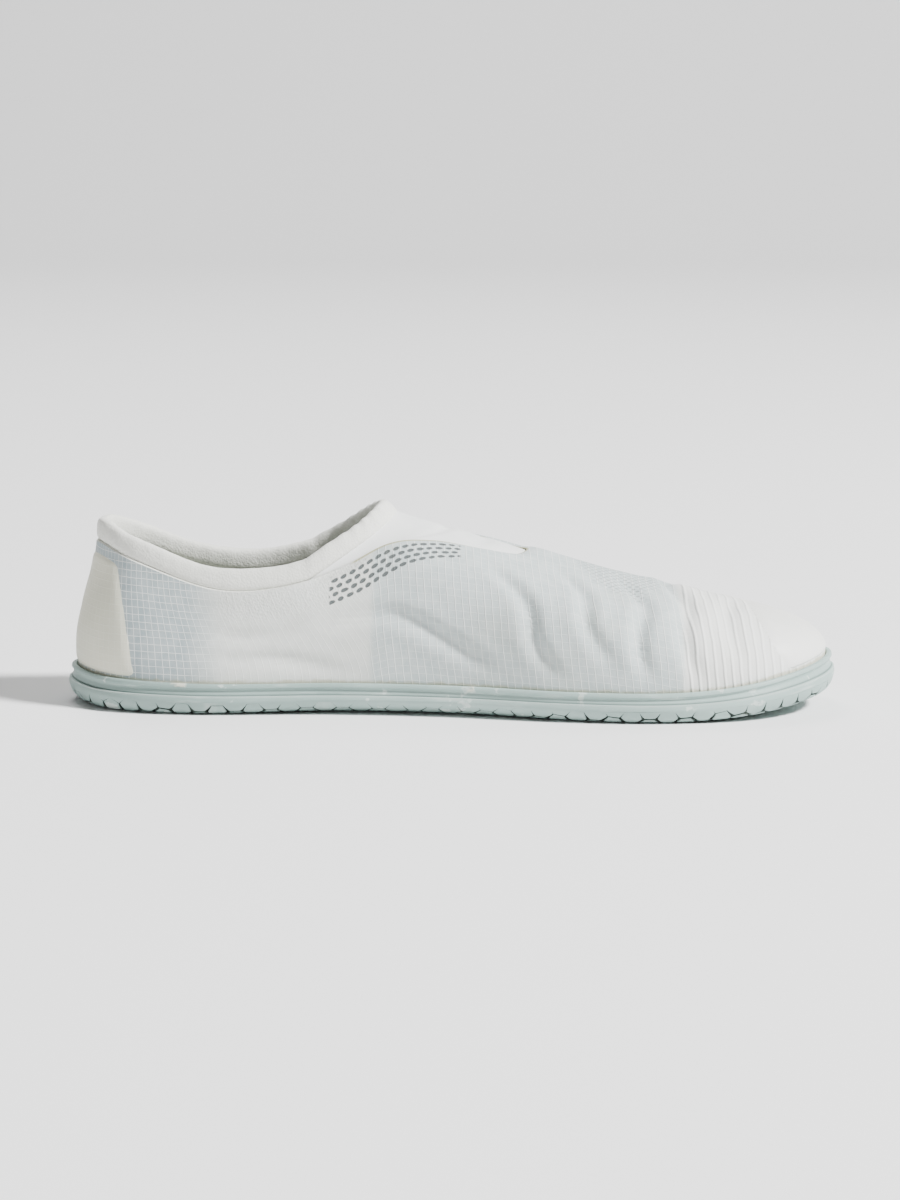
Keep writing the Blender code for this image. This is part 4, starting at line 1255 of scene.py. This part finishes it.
@dataclass
class Upper:
    """The hollow cloth upper with its lining and the thin turned edge of its throat."""

    last: Last
    columns: int = 168
    rows: int = 72
    throat_from: float = 0.50
    edge_sink: float = 0.0013
    edge_reach: float = 0.0034
    edge_thinning: float = 0.74
    rib_bow: float = 0.9
    swell: float = 0.00035

    @cached_property
    def smooth_face(self) -> Array:
        """The outer face before its creases, by column round the shoe and row up it."""
        shares = side_shares(self.columns)
        steps = np.linspace(0, 1, self.rows + 1) ** 0.92
        inner = self.last.columns(Side.INNER, shares, steps)
        outer = self.last.columns(Side.OUTER, shares, steps)
        return np.concatenate([inner, outer[-2::-1]])

    @staticmethod
    def normals(face: Array) -> Array:
        """Outward normals of a closed face of columns and rows."""
        ring = face[:-1]
        round_it = np.roll(ring, -1, axis=0) - np.roll(ring, 1, axis=0)
        up = np.gradient(ring, axis=1)
        found = unit(np.cross(round_it, up))
        return np.concatenate([found, found[:1]])

    @cached_property
    def charts(self) -> dict[str, Array]:
        """UV maps in metres: the cloth laid flat, the way to the cut edge and the way to the rim."""
        face = self.smooth_face
        middle = self.columns
        flat = np.empty((*face.shape[:2], 2))
        for part, sign in ((slice(0, middle + 1), -1), (slice(2 * middle, middle - 1, -1), 1)):
            side = face[part]
            x = side[..., 0]
            lines = []
            for k in range(self.rows + 1):
                reached = np.maximum.accumulate(side[:, k, 0] + np.arange(len(side)) * 1e-9)
                y = np.interp(x, reached, sign * side[:, k, 1])
                z = np.interp(x, reached, side[:, k, 2])
                lines.append((y, z, x <= side[-1, k, 0] + 1e-6))
            arc = lines[-1][0] * lines[-1][2]
            reach = arc.copy()
            found = np.empty(x.shape)
            found[:, -1] = reach[:, -1]
            for k in range(self.rows - 1, -1, -1):
                (y0, z0, real), (y1, z1, above) = lines[k], lines[k + 1]
                stride = np.where(above, np.hypot(y1 - y0, z1 - z0), y0)
                reach = reach + np.where(real, stride, 0.0)
                found[:, k] = reach[:, k]
            flat[part, :, 0] = x - self.rib_bow * found**2
            flat[part, :, 1] = sign * found
        climb = np.linalg.norm(np.diff(face, axis=1), axis=2)
        up = np.concatenate([np.zeros((len(face), 1)), np.cumsum(climb, axis=1)], axis=1)
        top = np.broadcast_to(travelled(face[:, -1])[:, None], up.shape)
        foot = np.broadcast_to(travelled(face[:, 0])[:, None], up.shape)
        return {
            "cloth": flat,
            "edge": np.stack([top, up[:, -1:] - up], axis=2),
            "rim": np.stack([foot, up], axis=2),
        }

    @cached_property
    def face(self) -> Array:
        """The outer face with its creases and its throat edge pressed down."""
        smooth = self.smooth_face
        out = np.zeros(smooth.shape[:2])
        flat = self.charts["cloth"]
        x, girth = smooth[..., 0], flat[..., 1]
        for crease in CREASES:
            rows = np.array(crease.points)
            ends = np.vstack([2 * rows[:1] - rows[1:2], rows, 2 * rows[-1:] - rows[-2:-1]])
            line = curve_through(ends, 10)
            gaps = np.hypot(x[..., None] - line[:, 0], girth[..., None] - line[:, 1])
            nearest = gaps.argmin(axis=2)
            away = gaps.min(axis=2) / crease.width
            fade = np.sin(pi * np.clip(nearest / (len(line) - 1), 0.03, 0.97)) ** 0.7
            out -= crease.depth * fade * (1 - 0.75 * away**2) * np.exp(-(away**2) / 1.4)
        swell = np.sin(61 * x + 2.1 * np.sin(83 * girth)) * np.sin(74 * girth + 1.3 * np.sin(52 * x) + 0.6)
        up = self.charts["rim"][..., 1]
        down = self.charts["edge"][..., 1]
        out += self.swell * swell
        out *= smooth_rise(up, 0.0, 0.012) * smooth_rise(down, 0.0, 0.007)
        throat = self.throat_mask[:, None]
        out -= throat * self.edge_sink * (1 - smooth_rise(down, 0.0, self.edge_reach)) ** 1.5
        return smooth + self.normals(smooth) * out[..., None]

    @cached_property
    def throat_mask(self) -> Array:
        """How far each column belongs to the throat, from 0 under the cuff to 1 in front of it."""
        shares = side_shares(self.columns)
        at = smooth_read(COLUMNS[:, 0], COLUMNS[:, 1], shares)
        one = smooth_rise(at, self.throat_from - 0.03, self.throat_from + 0.05)
        return np.concatenate([one, one[-2::-1]])

    def build(self, cloth: Finish, lining: Finish, edge: Finish) -> bpy.types.Object:
        """Builds the upper as one closed wall.

        Args:
            cloth: Its outer finish.
            lining: Its inner finish.
            edge: The finish of its cut edge.

        Returns:
            The upper.
        """
        face = self.face
        normals = self.normals(face)
        down = self.charts["edge"][..., 1]
        thin = self.throat_mask[:, None] * (1 - smooth_rise(down, 0.0, 0.006))
        wall = self.last.wall * (1 - self.edge_thinning * thin)
        inside = face - normals * wall[..., None]
        outside_foot, inside_foot = face[:, :1].copy(), inside[:, :1].copy()
        for foot in (outside_foot, inside_foot):
            foot[..., 2] = self.last.footbed + self.last.gap + self.last.lift(foot[..., 0])
        turn = np.array([0.25, 0.5, 0.75])[None, :, None]
        top, back = face[:, -1:], inside[:, -1:]
        upward = unit(top - face[:, -2:-1])
        bulge = 0.25 * self.last.wall * (1 - 0.8 * thin[:, -1:, None])
        crown = top + (back - top) * turn + upward * bulge * np.sin(pi * turn)
        inner_rows = inside[:, ::-2]
        points = np.concatenate([outside_foot, face, crown, inner_rows, inside_foot, outside_foot], axis=1)
        charts = {}
        for name, chart in self.charts.items():
            first, last = chart[:, :1], chart[:, -1:]
            parts = [first, chart, last, last, last, chart[:, ::-2], first, first]
            charts[name] = np.concatenate(parts, axis=1)
        edge_at = self.rows + 1
        slots = np.ones(points.shape[:2], int)
        slots[:, :edge_at] = 0
        slots[self.throat_mask > 0.6, edge_at : edge_at + 4] = 2
        item = make_object("upper_shell", lay_grid(points, charts, slots), [cloth, lining, edge])
        return settle(item, "upper")


@dataclass
class BondedFilm:
    """A smooth film bonded over the upper at one end, thinning out at its border."""

    upper: Upper
    end: End
    at_rim: float
    at_top: float
    height: float
    top_gap: float
    thickness: float = 0.00055
    sink: float = 0.00012
    film_wall: float = 0.0001

    def build(self, name: str, node: str, film: Finish) -> bpy.types.Object:
        """Builds the film.

        Args:
            name: The piece's name.
            node: The CAD node that it stands for.
            film: Its finish.

        Returns:
            The film.
        """
        last = self.upper.last
        face, normals = self.upper.face, self.upper.normals(self.upper.face)
        up, down = self.upper.charts["rim"][..., 1], self.upper.charts["edge"][..., 1]
        toward = -self.end.value
        corner = Vector((self.end.value * last.length / 2 + self.at_rim * toward, 0.0, last.rim))
        run, rise = (self.at_top - self.at_rim) * toward, self.height - last.rim
        slope = Vector((rise * toward, 0.0, -run * toward)).normalized()
        past = (face - np.array(corner)) @ np.array(slope)
        thin = smooth_rise(-past, 0.0, 0.0030)
        thin *= smooth_rise(up, 0.0006, 0.0026)
        if self.top_gap:
            thin *= smooth_rise(down, self.top_gap, self.top_gap + 0.0024)
        outer = face + normals * (self.thickness * thin - self.sink)[..., None]
        roll = self.upper.columns if self.end is End.HEEL else 0
        reach = np.abs(face[..., 0] - self.end.value * last.length / 2) < 2.2 * max(self.at_rim, self.at_top)
        columns = np.flatnonzero(reach[:-1, 0])
        columns = columns[np.argsort((columns + roll) % (2 * self.upper.columns))]
        rows = self.upper.rows + 1
        run_up = self.upper.charts["rim"].copy()
        if self.end is End.HEEL:
            run_up[self.upper.columns :, :, 0] -= run_up[-1, 0, 0]
        table, chart = np.empty((len(columns), rows, 3)), np.empty((len(columns), rows, 2))
        for place, column in enumerate(columns):
            start = float(np.interp(0.0008, up[column], np.arange(rows)))
            stop = float(np.interp(-self.top_gap, -down[column], np.arange(rows)))
            at = np.linspace(start, stop, rows)
            for target, source in ((table, outer), (chart, run_up)):
                for axis in range(target.shape[2]):
                    target[place, :, axis] = np.interp(at, np.arange(rows), source[column, :, axis])
        bm = lay_grid(table, {"rim": chart})
        geom = [*bm.verts, *bm.edges, *bm.faces]
        bmesh.ops.bisect_plane(bm, geom=geom, dist=1e-6, plane_co=corner, plane_no=slope, clear_outer=True)
        item = make_object(name, bm, [film])
        thicken(item, self.film_wall)
        return settle(item, node)


@dataclass
class Tongue:
    """The smooth stretch inset that closes the throat from beneath."""

    last: Last
    rows: int = 70
    across: int = 44
    thickness: float = 0.0016
    underlap: float = 0.0060
    setback: float = 0.0020
    crown: float = 0.0030
    cuff_front: float = 0.0460
    leaves: float = 0.50
    tail: float = 0.10
    clearance: float = 0.0019

    @property
    def centre(self) -> Array:
        """The cuff's base point in the middle of the instep."""
        last = self.last
        return np.array([last.length / 2 - last.vamp - self.cuff_front, 0.0, last.instep + self.crown])

    def arc(self, start: Array, end: Array, centre: Array, count: int, ahead: float = 1.2) -> Array:
        """A round arch over the instep through its centre point; ahead is how late it runs forward."""
        turn = np.linspace(-pi / 2, pi / 2, count)[:, None]
        middle = 0.5 * (start + end)
        crown = (centre - middle) * np.maximum(np.cos(turn), 0.0) ** np.array([ahead, 1.2, 1.2])
        return middle + 0.5 * (end - start) * np.sin(turn) + crown

    def build(self, cloth: Finish) -> bpy.types.Object:
        """Builds the inset with its two soft folds."""
        last = self.last
        under = -(last.wall + last.gap)
        front = last.topline[Side.INNER][-1]
        back = self.centre + [self.setback, 0.0, -2 * last.gap]
        whole = travelled(last.topline[Side.INNER])[-1]
        leaves = self.leaves + self.setback / whole
        table = []
        for place in np.linspace(-self.tail, 0.985, self.rows + 1):
            share = last.column_share(leaves + (1 - leaves) * (place if place > 0 else 0.2 * place))
            ends, edges = [], []
            for side in (Side.INNER, Side.OUTER):
                length = travelled(last.columns(side, [share], np.linspace(0, 1, 12))[0])[-1]
                ends.append(last.off_upper(side, share, 1.0, under))
                edges.append(last.off_upper(side, share, 1 - self.underlap / length, under))
            centre = back + (front + [0.0, 0.0, under] - back) * place
            bend = self.arc(*ends, centre, self.across + 1, 1.6)
            if place < 0.5:
                line = last.topline[Side.INNER]
                inset = self.clearance * float(1 - smooth_rise(place, 0.3, 0.5))
                room = np.interp(bend[:, 0], line[:, 0], np.abs(line[:, 1])) - inset
                bend[:, 1] = np.clip(bend[:, 1], -room, room)
            folds = ((0.0007, 0.34, 0.05), (0.0006, 0.66, 0.06))
            dip = sum(depth * np.exp(-(((place - at) / wide) ** 2)) for depth, at, wide in folds)
            bend[:, 2] -= dip * np.cos(np.linspace(-pi / 2, pi / 2, self.across + 1)) ** 2
            table.append(np.concatenate([edges[:1], bend, edges[1:]]))
        points = np.array(table)
        item = make_object("tongue_inset", lay_grid(points, {"cloth": points[..., :2]}), [cloth])
        thicken(item, self.thickness)
        return settle(item, "tongue")


@dataclass
class Collar:
    """The padded cuff: a soft roll that stands on the upper and crosses the inset."""

    last: Last
    tongue: Tongue
    steps: int = 240
    sides: int = 28
    thickness: float = 0.0044

    def path(self) -> Array:
        """The closed line on which the cuff stands."""
        runs = [walk(self.last.topline[side], np.linspace(0, self.tongue.leaves, 60)) for side in Side]
        front = self.tongue.arc(runs[0][-1], runs[1][-1], self.tongue.centre, 41)
        base = np.concatenate([runs[0], front[1:-1], runs[1][:0:-1]])
        return walk(np.concatenate([base, base[:1]]), np.linspace(0, 1, self.steps + 1))

    def build(self, knit: Finish) -> bpy.types.Object:
        """Builds the cuff with its small puckers."""
        path = self.path()
        tangent = np.roll(path[:-1], -1, axis=0) - np.roll(path[:-1], 1, axis=0)
        tangent = unit(np.concatenate([tangent, tangent[:1]]))
        inward = unit(np.column_stack([-tangent[:, 1], tangent[:, 0], np.zeros(len(tangent))]))
        at = np.linspace(0, 1, self.steps + 1)
        place = 1 - np.abs(2 * at - 1)
        lean = np.radians(smooth_read(CUFF[:, 0], CUFF[:, 1], place))[:, None]
        height = self.last.cuff_height * smooth_read(CUFF[:, 0], CUFF[:, 2], place)
        up = np.array([0.0, 0.0, 1.0]) * np.cos(lean) + inward * np.sin(lean)
        wide = unit(np.cross(tangent, up))
        angle = 2 * pi * (np.arange(self.sides + 1) + 0.5) / self.sides
        width = self.thickness / 2 * np.sign(np.cos(angle)) * np.abs(np.cos(angle)) ** 0.75
        rise = 0.5 * np.sign(np.sin(angle)) * np.abs(np.sin(angle)) ** 0.72
        corner = np.exp(-(((place - 0.83) / 0.10) ** 2))
        ripple = 0.00022 * np.sin(at * 2 * pi * 46 + 1.5 * np.sin(at * 2 * pi * 7)) * (0.35 + corner)
        ripple += 0.0003 * np.sin(at * 2 * pi * 9 + 0.7)
        swell = ripple[:, None] * (0.4 + 0.6 * np.sin(angle))[None]
        out = width[None] - self.thickness / 2 + swell * np.sign(np.cos(angle))[None]
        lift = height[:, None] * (rise[None] + 0.5) + self.last.gap + 0.5 * swell * (rise[None] > 0)
        points = path[:, None] + wide[:, None] * out[..., None] + up[:, None] * lift[..., None]
        points[-1] = points[0]
        run = travelled(path)
        turn = np.linspace(0, 0.022, self.sides + 1)
        chart = np.stack(np.meshgrid(run, turn, indexing="ij"), axis=2)
        bm = lay_grid(points, {"cloth": chart})
        bmesh.ops.recalc_face_normals(bm, faces=bm.faces)
        item = make_object("collar_cuff", bm, [knit])
        return settle(item, "cuff")


@dataclass
class Insole:
    """The loose foam footbed."""

    last: Last
    stations: int = 120
    across: int = 24
    thickness: float = 0.0032
    bevel: float = 0.0008

    def build(self, foam: Finish) -> bpy.types.Object:
        """Builds the insole with its rounded edge."""
        last = self.last
        inset = last.foot_inset + last.wall + 2 * last.gap
        base = last.footbed + last.gap
        turn = np.linspace(0, pi / 2, 4)
        inward = np.concatenate([[0.0], self.bevel * (1 - np.cos(turn))]) + inset
        height = np.concatenate([[0.0], self.thickness - self.bevel * (1 - np.sin(turn))]) + base
        inner, outer = (last.ring(side, side_shares(self.stations), inward, height) for side in Side)
        points = np.concatenate([over_bed(inner, outer, self.across), inner[:, :1]], axis=1)
        item = make_object("insole_foam", lay_grid(points, {"flat": points[..., :2]}), [foam])
        return settle(item, "insole")


@dataclass
class Studio:
    """Pale seamless floor, soft lights and the camera."""

    distance: float = 1.25
    elevation: float = 9.0
    azimuth: float = 0.0
    span: float = 0.325
    sensor: float = 36.0

    def floor(self) -> None:
        """Makes a pale floor that curves up behind the shoe."""
        bm = bmesh.new()
        bmesh.ops.create_grid(bm, x_segments=1, y_segments=1, size=4.0)
        bmesh.ops.translate(bm, verts=bm.verts, vec=(0.0, -1.4, 0.0))
        back = [edge for edge in bm.edges if all(vert.co.y > 2.5 for vert in edge.verts)]
        verts = list({vert for edge in back for vert in edge.verts})
        axis = {"cent": (0.0, 2.6, 1.2), "axis": (1.0, 0.0, 0.0)}
        bmesh.ops.spin(bm, geom=back + verts, angle=radians(90), steps=24, **axis)
        far = max(vert.co.z for vert in bm.verts)
        top = [edge for edge in bm.edges if all(vert.co.z > far - 1e-4 for vert in edge.verts)]
        grown = bmesh.ops.extrude_edge_only(bm, edges=top)["geom"]
        rising = [item for item in grown if isinstance(item, bmesh.types.BMVert)]
        bmesh.ops.translate(bm, verts=rising, vec=(0.0, 0.0, 3.0))
        material, _, shader = Surface(0.95, 0.1).start("pale_floor")
        shader.inputs["Base Color"].default_value = srgb(247, 247, 247)
        make_object("floor", bm, [material])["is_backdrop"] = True

    @staticmethod
    def aim(data: bpy.types.Light | bpy.types.Camera, place: Vector, target: Vector) -> bpy.types.Object:
        """Stands a light or a camera at a place and turns it to a target."""
        item = bpy.data.objects.new(data.name, data)
        item.location = place
        item.rotation_euler = (target - place).to_track_quat("-Z", "Y").to_euler()
        bpy.context.scene.collection.objects.link(item)
        return item

    def light(self, name: str, place: tuple[float, float, float], size: float, power: float) -> None:
        """Adds a soft light aimed at the shoe."""
        data = bpy.data.lights.new(name, "AREA")
        data.shape = "DISK"
        data.size = size
        data.energy = power
        self.aim(data, Vector(place), Vector((0.0, 0.0, 0.03)))

    def camera(self) -> None:
        """Places the camera at the photograph's angle, level with the inner side."""
        data = bpy.data.cameras.new("camera")
        data.sensor_width = self.sensor
        data.lens = 0.75 * self.sensor * self.distance / self.span
        azimuth, elevation = radians(self.azimuth), radians(self.elevation)
        level = np.cos(elevation)
        away = Vector((np.sin(azimuth) * level, -np.cos(azimuth) * level, np.sin(elevation)))
        target = Vector((0.0, 0.0, 0.036))
        bpy.context.scene.camera = self.aim(data, target + away * self.distance, target)

    def build(self) -> None:
        """Makes the floor, the lights and the camera."""
        self.floor()
        self.light("key", (2.5, -1.1, 2.6), 0.7, 420.0)
        self.light("fill", (-2.6, -2.2, 1.2), 2.0, 6.0)
        self.light("back", (-0.6, 1.8, 2.6), 1.4, 40.0)
        world = bpy.context.scene.world or bpy.data.worlds.new("studio")
        bpy.context.scene.world = world
        world.use_nodes = True
        background = world.node_tree.nodes["Background"]
        background.inputs["Color"].default_value = (1.0, 1.0, 1.0, 1.0)
        background.inputs["Strength"].default_value = 0.20
        self.camera()


def main() -> None:
    """Builds the studio and every piece in order."""
    logging.basicConfig(level=logging.INFO, format="%(name)s: %(message)s")
    Studio().build()
    effects = Effects()
    last = Last()
    Outsole(last).build(Rubber().make("sole_rubber", effects), Groove().make("groove_rubber"))
    Insole(last).build(Foam().make("insole_foam", effects))
    upper = Upper(last)
    lining = PlainCloth(srgb(230, 231, 224), srgb(212, 214, 206), 1400.0, 900.0, 0.00012)
    # The cut edge's olive tone is partly its tint and partly painted shade where the shell laps over the
    # inset
    edge = PlainCloth(srgb(178, 175, 138), srgb(160, 158, 124), 1500.0)
    upper.build(
        ShellCloth().make("shell_cloth", effects),
        lining.make("lining_knit", effects),
        edge.make("throat_edge", effects),
    )
    tongue = Tongue(last)
    inset = PlainCloth(srgb(238, 239, 237), srgb(229, 231, 230), 2200.0, relief=0.00006)
    tongue.build(inset.make("stretch_inset", effects))
    cuff = PlainCloth(srgb(236, 236, 229), srgb(224, 225, 217), 1500.0, 1250.0, 0.00007, 0.25)
    Collar(last, tongue).build(cuff.make("cuff_knit", effects))
    counter = Film(srgb(226, 225, 206), srgb(216, 216, 197), 0.3)
    BondedFilm(upper, End.HEEL, 0.0270, 0.0200, 0.0560, 0.0032).build(
        "counter_film", "heel_counter", counter.make("counter_film", effects)
    )
    cap = Film(srgb(241, 241, 237), srgb(233, 234, 229), 0.0)
    BondedFilm(upper, End.TOE, 0.0160, 0.0330, 0.0380, 0.0).build(
        "toe_film", "toe_cap", cap.make("toe_film", effects)
    )
    boxes = {"cad": CAD_BOX, "visual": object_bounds()}
    boxes = {name: [list(corner) for corner in box] for name, box in boxes.items()}
    LOG.info("boxes %s", boxes)


if __name__ == "__main__":
    main()
